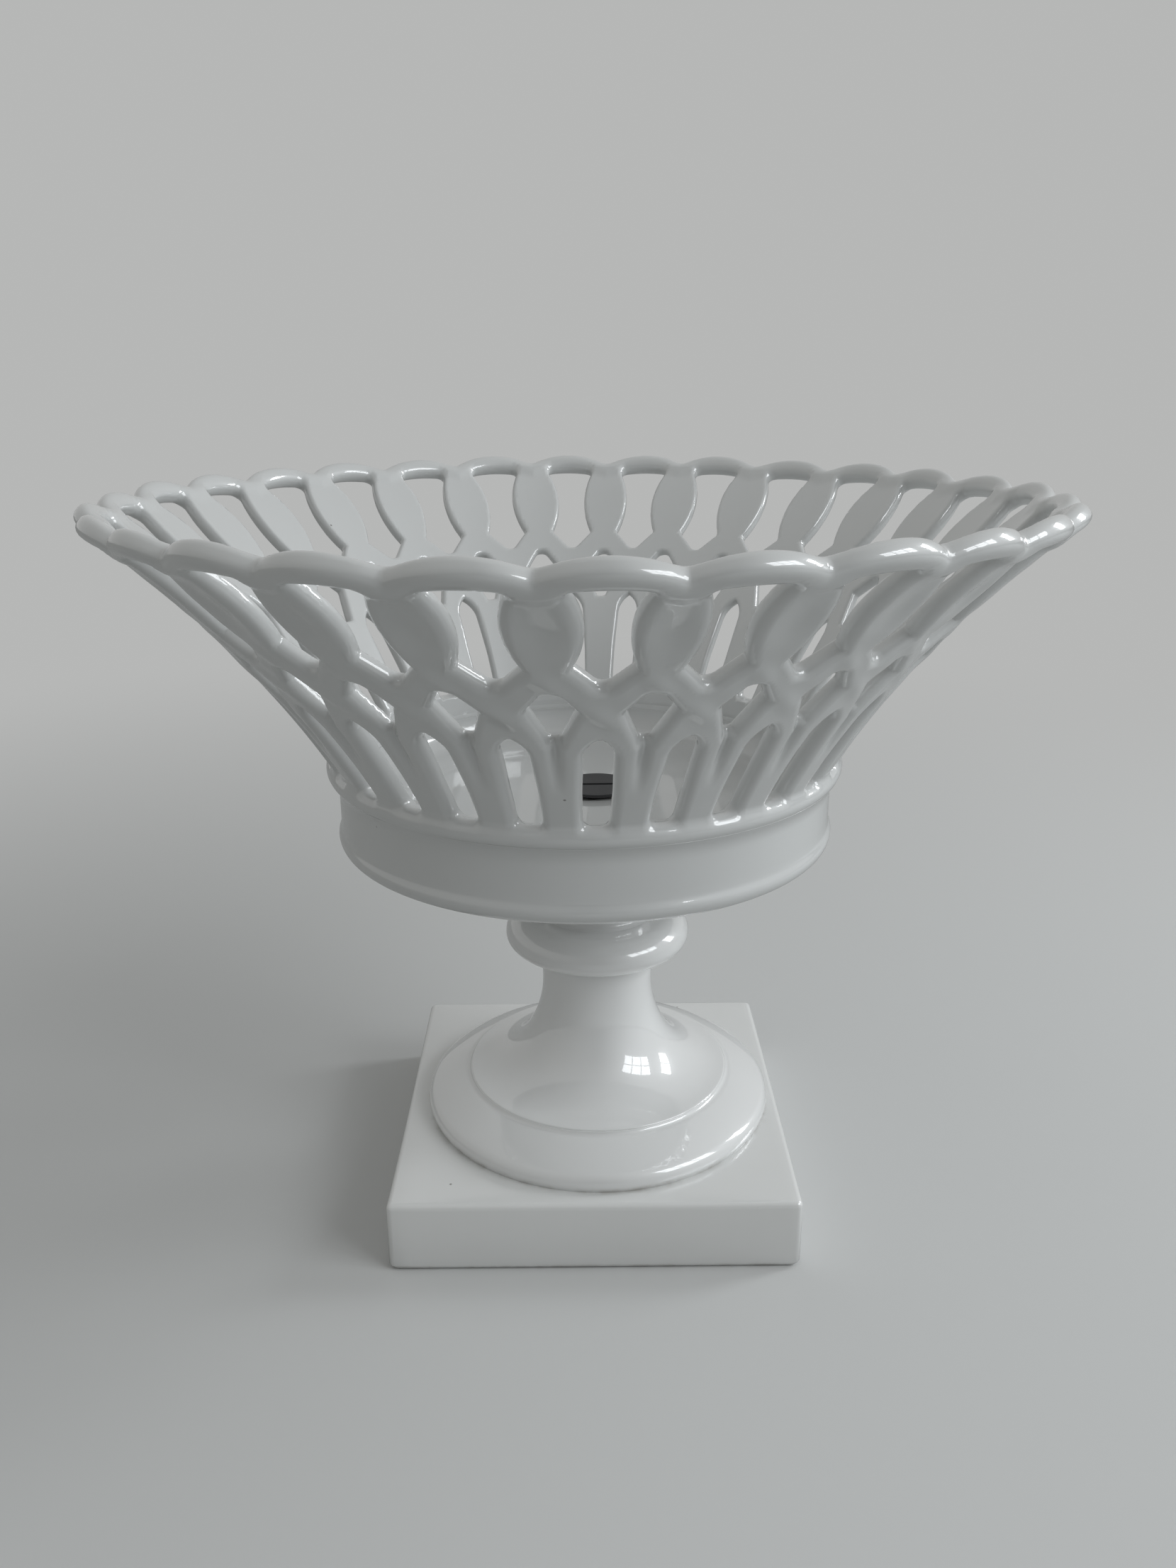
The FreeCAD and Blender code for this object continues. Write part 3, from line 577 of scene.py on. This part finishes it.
def make_drum():
    """Plain band with a rolled lower edge. A hollow curve leads up to the bead of the openwork."""
    band = DRUM_RADIUS
    low = DRUM_LOW
    edge_curve = 3.8 * MM
    swell = 1.0 * MM
    fade = 3.2 * MM
    top = DRUM_TOP - 5.0 * MM
    crown, crown_inset = 0.6 * MM, 1.5 * MM
    chamfer, drawn_back = 2.0 * MM, 0.3 * MM
    edge_low = (band + swell - edge_curve, low)
    edge_high = (band + swell, low + edge_curve)
    diagonal = BEAD_RADIUS * math.sqrt(0.5)
    bead_low = (band + diagonal, DRUM_TOP - BEAD_DROP - diagonal)
    cove = diagonal / (1 - math.sqrt(0.5))
    outline = [(DRUM_BORE, low)]
    outline += arc_between(edge_low, edge_high, edge_curve, 1, 12)
    outline += blend_line(edge_high, (band, edge_high[1] + fade), 6)[1:]
    outline += arc_between((band, bead_low[1] - cove * math.sqrt(0.5)), bead_low, cove, -1, 10)
    outline += [(band - crown_inset, top + crown), (drum_inside(top) + drawn_back, top)]
    outline += [(drum_inside(top - chamfer), top - chamfer), (DRUM_BORE, DRUM_TOP - LEAN_TALL)]
    outline = refine(soften(outline, radius=0.9 * MM), longest=2.5 * MM)
    piece = turned("drum_band", outline, BASKET, DRUM_UNEVEN, DRUM_SEED)
    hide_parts("drum_collar")
    return piece


def make_basket_floor():
    """Floor slab with a slightly dished face and a cove up to the drum, as uneven as the drum is."""
    cove = 9.0 * MM
    dish = 0.5 * MM
    outer = DRUM_BORE + 0.05 * MM
    face = FLOOR_TOP + 0.1 * MM
    outline = [(BOLT_HOLE, FLOOR_LOW), (outer, FLOOR_LOW)]
    outline += arc_between((outer - cove, face), (outer, FLOOR_TOP + cove), cove, 1, 40)[::-1]
    for share in (0.8, 0.6, 0.4, 0.25):
        outline.append(((outer - cove) * share, face - dish * (1 - share ** 2)))
    outline.append((BOLT_HOLE, FLOOR_TOP - dish))
    outline = refine(outline, longest=3 * MM)
    piece = turned("basket_floor_dish", outline, BASKET, DRUM_UNEVEN, DRUM_SEED)
    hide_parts("basket_floor")
    return piece


def make_knop():
    """Cushion knop: flat underside, tight turn at its side, rounder shoulder."""
    widest = node_radius("knop")
    underside = (widest - 11.0 * MM, STEM_TOP)
    belly = (widest - 2.07 * MM, STEM_TOP + 2.3 * MM)
    side = (widest, STEM_TOP + 5.8 * MM)
    underside_curve, side_curve = 18.5 * MM, 4.0 * MM
    shoulder = KNOP_TOP - side[1]
    outline = [(BOLT_HOLE, STEM_TOP)]
    outline += arc_between(underside, belly, underside_curve, 1, 14)
    outline += arc_between(belly, side, side_curve, 1, 12)[1:]
    outline += arc_between(side, (widest - shoulder, KNOP_TOP), shoulder, 1, 14)[1:]
    outline += [(BOLT_HOLE, KNOP_TOP)]
    outline = refine(outline, longest=2 * MM)
    piece = turned("knop_cushion", outline, PEDESTAL, unevenness=0.2 * MM, seed=2)
    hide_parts("knop")
    return piece


def make_stem():
    """Hollow trumpet that stands on a small step and ends in a small flare under the knop."""
    step_radius = node_radius("stem")
    step_height = 1.8 * MM
    edge_across, edge_down = 1.2 * MM, 0.2 * MM
    root = (step_radius - edge_across, FOOT_TOP + step_height)
    knee = (23.5 * MM, FOOT_TOP + 16 * MM)
    waist = (18.8 * MM, FOOT_TOP + 36 * MM)
    trumpet_curve, shaft_curve = 26 * MM, 40 * MM
    throat, flare, into_knop = 19 * MM, 1.3 * MM, 0.15 * MM
    bore_top = (12 * MM, STEM_TOP)
    bell_top = (12 * MM, FOOT_TOP + 24 * MM)
    bell_mouth = (32 * MM, FOOT_TOP)
    bell_curve = 30 * MM
    outline = [bell_mouth, (step_radius, FOOT_TOP), (step_radius, FOOT_TOP + step_height - edge_down)]
    outline += arc_between(root, knee, trumpet_curve, -1, 16)
    outline += arc_between(knee, waist, shaft_curve, -1, 12)[1:]
    outline += arc_between((throat, STEM_TOP - flare), (throat + flare, STEM_TOP + into_knop), flare, -1, 6)
    outline += [bore_top, bell_top]
    outline += arc_between(bell_top, bell_mouth, bell_curve, 1, 10)[1:-1]
    outline = refine(soften(outline, radius=0.7 * MM), longest=2 * MM)
    piece = turned("trumpet_stem", outline, PEDESTAL, unevenness=0.18 * MM, seed=6)
    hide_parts("stem")
    return piece


def make_foot():
    """Stepped disc: round lip, gently crowned top and a small cove up to the stem's step."""
    nominal = 59.7 * MM
    bore = 28 * MM
    seat = PLINTH_TOP - 0.3 * MM
    lip_head = (nominal - 2.0 * MM, PLINTH_TOP + 5.8 * MM)
    crown_head = (46.8 * MM, FOOT_TOP - 0.05 * MM)
    cove_head = (45.0 * MM, FOOT_TOP + 1.3 * MM)
    under_step = [(44.0 * MM, FOOT_TOP + 1.0 * MM), (43.5 * MM, FOOT_TOP - 0.2 * MM)]
    lip_curve, crown_curve, cove_curve = 4.4 * MM, 60 * MM, 1.9 * MM
    outline = [(bore, seat)]
    outline += arc_between((nominal - 0.35 * MM, seat), lip_head, lip_curve, 1, 14)
    outline += arc_between(lip_head, crown_head, crown_curve, 1, 14)[1:]
    outline += arc_between(crown_head, cove_head, cove_curve, -1, 6)[1:]
    outline += under_step + [(bore, FOOT_TOP)]
    outline = refine(soften(outline, radius=0.6 * MM), longest=2 * MM)
    piece = turned("stepped_foot", outline, PEDESTAL, unevenness=0.2 * MM, seed=8)
    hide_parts("round_foot")
    return piece


def make_neck():
    """Cup-shaped neck that widens from the knop to the cork ring under the basket."""
    foot = (19.5 * MM, KNOP_TOP)
    waist = (17.6 * MM, KNOP_TOP + 2 * MM)
    shoulder = (40 * MM, NECK_TOP - 3 * MM)
    brim = (31 * MM, NECK_TOP)
    hollow = (11 * MM, KNOP_TOP + 6 * MM)
    foot_curve, cup_curve, hollow_curve = 2.2 * MM, 34 * MM, 41 * MM
    outline = [(BOLT_HOLE, KNOP_TOP)]
    outline += arc_between(foot, waist, foot_curve, -1, 5)
    outline += arc_between(waist, shoulder, cup_curve, -1, 20)[1:]
    outline += [(shoulder[0], NECK_TOP), brim]
    outline += arc_between(brim, hollow, hollow_curve, 1, 14)[1:]
    outline += [(BOLT_HOLE, hollow[1])]
    outline = refine(soften(outline, radius=0.8 * MM), longest=2 * MM)
    piece = turned("neck_flare", outline, PEDESTAL, unevenness=0.15 * MM, seed=9)
    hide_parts("flared_neck")
    return piece


def plinth_block(half, height):
    """Square slab about the Z axis, hollow underneath, with rounded edges and evenly cut faces."""
    skirt = deck = 8 * MM
    edge_round, longest = 2.0 * MM, 7 * MM
    made = bmesh.new()
    bmesh.ops.create_cube(made, size=1)
    for vertex in made.verts:
        vertex.co = (vertex.co.x * 2 * half, vertex.co.y * 2 * half, (vertex.co.z + 0.5) * height)
    under = [face for face in made.faces if face.normal.z < -0.5]
    bmesh.ops.inset_region(made, faces=under, thickness=skirt)
    hollow = bmesh.ops.extrude_face_region(made, geom=under)
    bmesh.ops.delete(made, geom=under, context="FACES")
    for item in hollow["geom"]:
        if isinstance(item, bmesh.types.BMVert):
            item.co.z = height - deck
    bmesh.ops.bevel(made, geom=made.edges[:], offset=edge_round, segments=6, profile=0.5,
                    affect="EDGES", clamp_overlap=True)
    for axis in (0, 1):
        normal = [float(axis == k) for k in range(3)]
        for cut in np.arange(-half + longest, half, longest):
            place = [cut * n for n in normal]
            bmesh.ops.bisect_plane(made, geom=made.verts[:] + made.edges[:] + made.faces[:],
                                   plane_co=place, plane_no=normal)
    return made


def make_plinth():
    """Square slab with slightly uneven pressed faces, turned a little against the basket."""
    bow_out, sag_down = 0.15 * MM, 0.10 * MM
    low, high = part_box("square_plinth")
    half, height = (high.x - low.x) / 2, high.z
    made = plinth_block(half, height)
    for vertex in made.verts:
        x, y, z = vertex.co
        sag = math.sin(41 * x + 1.2) * math.sin(37 * y + 0.4) + 0.5 * math.sin(83 * x + 61 * y)
        bow = math.sin(55 * z + 30 * x + 20 * y) + math.sin(29 * (x - y))
        bowed_x = x + bow_out * bow * x / half
        bowed_y = y + bow_out * bow * y / half
        vertex.co.x = PLINTH[0] + bowed_x * math.cos(PLINTH_TURN) - bowed_y * math.sin(PLINTH_TURN)
        vertex.co.y = PLINTH[1] + bowed_x * math.sin(PLINTH_TURN) + bowed_y * math.cos(PLINTH_TURN)
        vertex.co.z += sag_down * sag * z / height
    bmesh.ops.recalc_face_normals(made, faces=made.faces[:])
    mesh = bpy.data.meshes.new("square_plinth_block")
    made.to_mesh(mesh)
    made.free()
    mesh.shade_smooth()
    piece = bpy.data.objects.new("square_plinth_block", mesh)
    bpy.context.scene.collection.objects.link(piece)
    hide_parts("square_plinth")
    return piece


# Materials. Scales of textures count features per metre.

# Whites of one porcelain: the basket's is darker and the pedestal's and plinth's lighter, as painted shade on
# the basket and painted light on the pedestal and plinth.
BASKET_WHITE_SHADED = (0.65, 0.66, 0.655)
PEDESTAL_WHITE_LIT = (0.83, 0.835, 0.83)
PLINTH_WHITE_LIT = (0.83, 0.835, 0.825)
DARK_STEEL = (0.030, 0.030, 0.032)
BRIGHT_STEEL = (0.50, 0.50, 0.51)
FIBRE = (0.10, 0.09, 0.08)
# Grey for creases and recesses: partly pooled glaze, partly painted shade.
POOLED_GLAZE_AND_SHADE = (0.60, 0.61, 0.60, 1)
GRIME = (0.24, 0.21, 0.17, 1)
SPECK = (0.10, 0.085, 0.07, 1)
CREASE_REACH = 5 * MM
CLOUDED = 0.94
CLOUD_SCALE = 21
GRIME_SCALE = 170
SPECK_SCALE = 60
GLOSS_SCALE = 260
RIPPLE_SCALE = 95
CORK_DARK = (0.20, 0.11, 0.05, 1)
CORK_PALE = (0.48, 0.32, 0.18, 1)
CRUMB_SCALE = 900


def new_material(name):
    material = bpy.data.materials.new(name)
    material.use_nodes = True
    nodes = material.node_tree.nodes
    return material, nodes, material.node_tree.links, nodes["Principled BSDF"]


def scaled(colour, factor):
    return (*(part * factor for part in colour), 1)


def noise(nodes, links, coordinates, scale, detail):
    texture = nodes.new("ShaderNodeTexNoise")
    texture.inputs["Scale"].default_value = scale
    texture.inputs["Detail"].default_value = detail
    links.new(coordinates.outputs["Object"], texture.inputs["Vector"])
    return texture.outputs["Fac"]


def ranged(nodes, links, value, known, wanted=(0.0, 1.0), interpolation="LINEAR"):
    """Value fitted from its known range to the wanted one."""
    fit = nodes.new("ShaderNodeMapRange")
    fit.interpolation_type = interpolation
    fit.inputs["From Min"].default_value, fit.inputs["From Max"].default_value = known
    fit.inputs["To Min"].default_value, fit.inputs["To Max"].default_value = wanted
    links.new(value, fit.inputs["Value"])
    return fit.outputs["Result"]


def combined(nodes, links, operation, first, second):
    both = nodes.new("ShaderNodeMath")
    both.operation = operation
    links.new(first, both.inputs[0])
    links.new(second, both.inputs[1])
    return both.outputs[0]


def mixed(nodes, links, share, colour, other):
    """Colour mix. The first colour is a socket or a value, the other a value."""
    mix = nodes.new("ShaderNodeMix")
    mix.data_type = "RGBA"
    links.new(share, mix.inputs["Factor"])
    if isinstance(colour, tuple):
        mix.inputs["A"].default_value = colour
    else:
        links.new(colour, mix.inputs["A"])
    mix.inputs["B"].default_value = other
    return mix.outputs["Result"]


def mixed_shader(nodes, links, share, shader, other, output):
    mix = nodes.new("ShaderNodeMixShader")
    links.new(share, mix.inputs["Fac"])
    links.new(shader, mix.inputs[1])
    links.new(other, mix.inputs[2])
    links.new(mix.outputs["Shader"], output.inputs["Surface"])


def porcelain(name, colour, roughness, bump_height):
    """White porcelain under clear glaze: greyer in creases and recesses, partly as pooled glaze and partly as
    painted shade, grimy in notches, with a few specks.
    """
    material, nodes, links, shader = new_material(name)
    coordinates = nodes.new("ShaderNodeTexCoord")
    occluded = nodes.new("ShaderNodeAmbientOcclusion")
    occluded.samples = 4
    occluded.inputs["Distance"].default_value = CREASE_REACH
    cells = nodes.new("ShaderNodeTexVoronoi")
    cells.inputs["Scale"].default_value = SPECK_SCALE
    links.new(coordinates.outputs["Object"], cells.inputs["Vector"])

    clouds = noise(nodes, links, coordinates, CLOUD_SCALE, 3)
    # Greyer where occlusion is strong: partly pooled glaze, partly painted shade in creases and recesses.
    pooled_and_shaded = ranged(nodes, links, occluded.outputs["AO"], (0.35, 0.95), (0.45, 0.0))
    patches = ranged(nodes, links, noise(nodes, links, coordinates, GRIME_SCALE, 3), (0.45, 0.65))
    notched = ranged(nodes, links, occluded.outputs["AO"], (0.3, 0.7), (0.5, 0.0))
    grimy = combined(nodes, links, "MULTIPLY", patches, notched)
    spot = ranged(nodes, links, cells.outputs["Distance"], (0.016, 0.03), (0.75, 0.0))
    chosen = ranged(nodes, links, cells.outputs["Color"], (0.55, 0.6))
    specked = combined(nodes, links, "MULTIPLY", spot, chosen)
    tone = mixed(nodes, links, clouds, scaled(colour, 1), scaled(colour, CLOUDED))
    tone = mixed(nodes, links, pooled_and_shaded, tone, POOLED_GLAZE_AND_SHADE)
    tone = mixed(nodes, links, grimy, tone, GRIME)
    tone = mixed(nodes, links, specked, tone, SPECK)
    links.new(tone, shader.inputs["Base Color"])

    gloss = noise(nodes, links, coordinates, GLOSS_SCALE, 2)
    gloss = ranged(nodes, links, gloss, (0, 1), (roughness * 0.7, roughness * 1.4))
    links.new(gloss, shader.inputs["Coat Roughness"])
    bump = nodes.new("ShaderNodeBump")
    bump.inputs["Strength"].default_value = 1
    bump.inputs["Distance"].default_value = bump_height
    links.new(noise(nodes, links, coordinates, RIPPLE_SCALE, 1), bump.inputs["Height"])
    links.new(bump.outputs["Normal"], shader.inputs["Normal"])
    links.new(bump.outputs["Normal"], shader.inputs["Coat Normal"])
    shader.inputs["Roughness"].default_value = 0.28
    shader.inputs["IOR"].default_value = 1.5
    shader.inputs["Coat Weight"].default_value = 1.0
    shader.inputs["Coat IOR"].default_value = 1.8
    return material


def grained(name, colour, roughness, scale, metallic=0.0):
    """Plain material whose grain varies tone and gloss."""
    material, nodes, links, shader = new_material(name)
    grain = noise(nodes, links, nodes.new("ShaderNodeTexCoord"), scale, 6)
    tone = mixed(nodes, links, grain, scaled(colour, 0.6), scaled(colour, 1.5))
    links.new(tone, shader.inputs["Base Color"])
    gloss = ranged(nodes, links, grain, (0, 1), (roughness * 0.8, roughness * 1.3))
    links.new(gloss, shader.inputs["Roughness"])
    shader.inputs["Metallic"].default_value = metallic
    return material


def pressed_cork():
    """Cork crumbs of many browns."""
    material, nodes, links, shader = new_material("pressed_cork")
    coordinates = nodes.new("ShaderNodeTexCoord")
    crumbs = nodes.new("ShaderNodeTexVoronoi")
    crumbs.inputs["Scale"].default_value = CRUMB_SCALE
    links.new(coordinates.outputs["Object"], crumbs.inputs["Vector"])
    tone = nodes.new("ShaderNodeValToRGB")
    tone.color_ramp.elements[0].color = CORK_DARK
    tone.color_ramp.elements[1].color = CORK_PALE
    links.new(crumbs.outputs["Color"], tone.inputs["Fac"])
    links.new(tone.outputs["Color"], shader.inputs["Base Color"])
    shader.inputs["Roughness"].default_value = 0.9
    return material


def dress(piece, material):
    piece.data.materials.clear()
    piece.data.materials.append(material)


# Basket and pedestal get copies of one glaze in a darker and a lighter white: painted shade on the basket,
# painted light on the pedestal and plinth.
basket_glaze_shaded = porcelain("basket_glaze_shaded", BASKET_WHITE_SHADED, roughness=0.03, bump_height=0.02 * MM)
pedestal_glaze_lit = porcelain("pedestal_glaze_lit", PEDESTAL_WHITE_LIT, roughness=0.03, bump_height=0.02 * MM)
lit_satin = porcelain("lit_satin_porcelain", PLINTH_WHITE_LIT, roughness=0.14, bump_height=0.012 * MM)
for make, glaze in ((make_openwork, basket_glaze_shaded), (make_drum, basket_glaze_shaded),
                    (make_basket_floor, basket_glaze_shaded), (make_knop, pedestal_glaze_lit),
                    (make_stem, pedestal_glaze_lit), (make_foot, pedestal_glaze_lit),
                    (make_neck, pedestal_glaze_lit)):
    piece = make()
    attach(piece, "root")
    dress(piece, glaze)
plinth = make_plinth()
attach(plinth, "root")
dress(plinth, lit_satin)

darkened_steel = grained("darkened_steel", DARK_STEEL, roughness=0.45, scale=160)
turned_steel = grained("turned_steel", BRIGHT_STEEL, roughness=0.35, scale=300, metallic=1.0)
dark_fibre = grained("dark_fibre", FIBRE, roughness=0.85, scale=500)
cork = pressed_cork()
for node, material in (("tie_bolt", darkened_steel), ("head_washer", dark_fibre),
                       ("plate_washer", turned_steel), ("tie_nut", turned_steel),
                       ("seat_gasket", cork), ("deck_gasket", cork)):
    dress(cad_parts[node], material)


# Stage, lamps and camera. The camera sees a paler floor than the one that throws light back at the piece.

BACKDROP = (0.47, 0.475, 0.47, 1)
FLOOR = (0.46, 0.465, 0.46, 1)
FLOOR_SEEN = (0.65, 0.655, 0.65, 1)
FLOOR_REACH = 6.0
FLOOR_FADE = (0.20, 0.90)
LEFT_WALL = (0.44, 0.445, 0.435, 1)
RIGHT_WALL = (0.60, 0.62, 0.63, 1)
DARK_BETWEEN = (0.02, 0.02, 0.02, 1)
CEILING = (0.22, 0.22, 0.215, 1)
DAYLIGHT = (0.94, 0.975, 1.0)

# Two windows to the right, a broad one in front and a narrow one behind: turn from +X and rise in degrees,
# width in metres, columns of panes, radiance
ROOM_WINDOWS = {
    "front": (-30, 32, 0.98, 3, 4.8),
    "rear": (15.5, 25, 0.32, 1, 10.0),
}
WINDOW_DISTANCE = 1.5
PANE_RISE = 0.31
GLAZING_BAR = 0.03
LIT_PLACE = np.array([0, 0, 0.1])


def pale_floor():
    """Matt floor that fades into the backdrop far out."""
    material, nodes, links, shader = new_material("pale_floor")
    shader.inputs["Roughness"].default_value = 0.8
    coordinates = nodes.new("ShaderNodeTexCoord")
    length = nodes.new("ShaderNodeVectorMath")
    length.operation = "LENGTH"
    links.new(coordinates.outputs["Object"], length.inputs[0])
    faded = ranged(nodes, links, length.outputs["Value"], FLOOR_FADE, interpolation="SMOOTHSTEP")
    by_camera = nodes.new("ShaderNodeLightPath").outputs["Is Camera Ray"]
    links.new(mixed(nodes, links, by_camera, FLOOR, FLOOR_SEEN), shader.inputs["Base Color"])
    seen = combined(nodes, links, "MULTIPLY", by_camera, faded)
    pale = nodes.new("ShaderNodeEmission")
    pale.inputs["Color"].default_value = BACKDROP
    mixed_shader(nodes, links, seen, shader.outputs["BSDF"], pale.outputs["Emission"],
                 nodes["Material Output"])
    return material


def make_floor():
    """Round floor. Its rings are narrow near the object and wide far out."""
    rings, around = 24, 96
    points = [(0, 0, 0)]
    for ring in range(1, rings + 1):
        radius = FLOOR_REACH * (ring / rings) ** 2
        for k in range(around):
            points.append((radius * math.cos(TAU * k / around), radius * math.sin(TAU * k / around), 0))
    faces = [(0, 1 + k, 1 + (k + 1) % around) for k in range(around)]
    for ring in range(rings - 1):
        here, there = 1 + ring * around, 1 + (ring + 1) * around
        for k in range(around):
            after = (k + 1) % around
            faces.append((here + k, there + k, there + after, here + after))
    floor = add_mesh("studio_floor", points, faces)
    dress(floor, pale_floor())


def make_world():
    """Room with pale walls left and right, dark between, and a ceiling. The camera sees a pale backdrop."""
    world = bpy.data.worlds.new("studio")
    bpy.context.scene.world = world
    world.use_nodes = True
    nodes, links = world.node_tree.nodes, world.node_tree.links
    coordinates = nodes.new("ShaderNodeTexCoord")
    direction = nodes.new("ShaderNodeSeparateXYZ")
    links.new(coordinates.outputs["Generated"], direction.inputs["Vector"])
    walls = nodes.new("ShaderNodeValToRGB")
    walls.color_ramp.elements[0].color = LEFT_WALL
    walls.color_ramp.elements[1].color = RIGHT_WALL
    walls.color_ramp.elements.new(0.5).color = DARK_BETWEEN
    links.new(ranged(nodes, links, direction.outputs["X"], (-1, 1)), walls.inputs["Fac"])
    room = nodes["Background"]
    links.new(walls.outputs["Color"], room.inputs["Color"])
    ceiling = nodes.new("ShaderNodeBackground")
    ceiling.inputs["Color"].default_value = CEILING
    links.new(ranged(nodes, links, direction.outputs["Z"], (0, 1)), ceiling.inputs["Strength"])
    all_around = nodes.new("ShaderNodeAddShader")
    links.new(room.outputs["Background"], all_around.inputs[0])
    links.new(ceiling.outputs["Background"], all_around.inputs[1])
    pale = nodes.new("ShaderNodeBackground")
    pale.inputs["Color"].default_value = BACKDROP
    paths = nodes.new("ShaderNodeLightPath")
    behind = ranged(nodes, links, direction.outputs["Y"], (-0.1, 0.2))
    mirrored_back = combined(nodes, links, "MULTIPLY", paths.outputs["Is Glossy Ray"], behind)
    seen = combined(nodes, links, "MAXIMUM", paths.outputs["Is Camera Ray"], mirrored_back)
    mixed_shader(nodes, links, seen, all_around.outputs["Shader"], pale.outputs["Background"],
                 nodes["World Output"])


def add_lamp(name, place, target, size, power):
    data = bpy.data.lights.new(name, "AREA")
    data.shape = "RECTANGLE"
    data.size, data.size_y = size
    data.energy = power
    data.color = DAYLIGHT
    lamp = bpy.data.objects.new(name, data)
    bpy.context.scene.collection.objects.link(lamp)
    lamp.location = place
    direction = np.array(target) - np.array(place)
    lamp.rotation_euler = Vector(direction).to_track_quat("-Z", "Y").to_euler()


def make_windows():
    """Two rows of panes for each window, an area lamp for each pane."""
    for name, (turn, rise, width, panes, radiance) in ROOM_WINDOWS.items():
        turn, rise = math.radians(turn), math.radians(rise)
        toward = np.array([math.cos(rise) * math.cos(turn), math.cos(rise) * math.sin(turn), math.sin(rise)])
        side = np.array([-math.sin(turn), math.cos(turn), 0])
        up = np.cross(toward, side)
        pane_width = width / panes
        for column in range(panes):
            for row in (0, 1):
                place = (LIT_PLACE + toward * WINDOW_DISTANCE
                         + side * (column - (panes - 1) / 2) * pane_width + up * (row - 0.5) * PANE_RISE)
                pane = (pane_width - GLAZING_BAR, PANE_RISE - GLAZING_BAR)
                power = radiance * math.pi * pane[0] * pane[1]
                add_lamp("%s_pane_%d_%d" % (name, column, row), place, place - toward, pane, power)


def make_camera():
    """The camera of the photograph: focal length in its pixels, place, turn, tilt and roll."""
    picture_height = 2212
    focal = 1753.0
    place = (-5.14 * MM, -384.92 * MM, 270.62 * MM)
    turn, tilt, roll = -0.0162, 0.3251, -0.0065
    data = bpy.data.cameras.new("photo_camera")
    data.sensor_fit = "AUTO"
    data.sensor_width = 36
    data.lens = focal / picture_height * data.sensor_width
    data.clip_start = 0.01
    camera = bpy.data.objects.new("photo_camera", data)
    bpy.context.scene.collection.objects.link(camera)
    camera.location = place
    right = Vector((math.cos(turn), math.sin(turn), 0))
    ahead = Vector((-math.sin(turn) * math.cos(tilt), math.cos(turn) * math.cos(tilt), -math.sin(tilt)))
    up = right.cross(ahead)
    rolled_right = right * math.cos(roll) + up * math.sin(roll)
    rolled_up = up * math.cos(roll) - right * math.sin(roll)
    camera.rotation_euler = Matrix((rolled_right, rolled_up, -ahead)).transposed().to_euler()
    bpy.context.scene.camera = camera


make_floor()
make_world()
make_windows()
make_camera()
bpy.context.scene.view_settings.view_transform = "Standard"
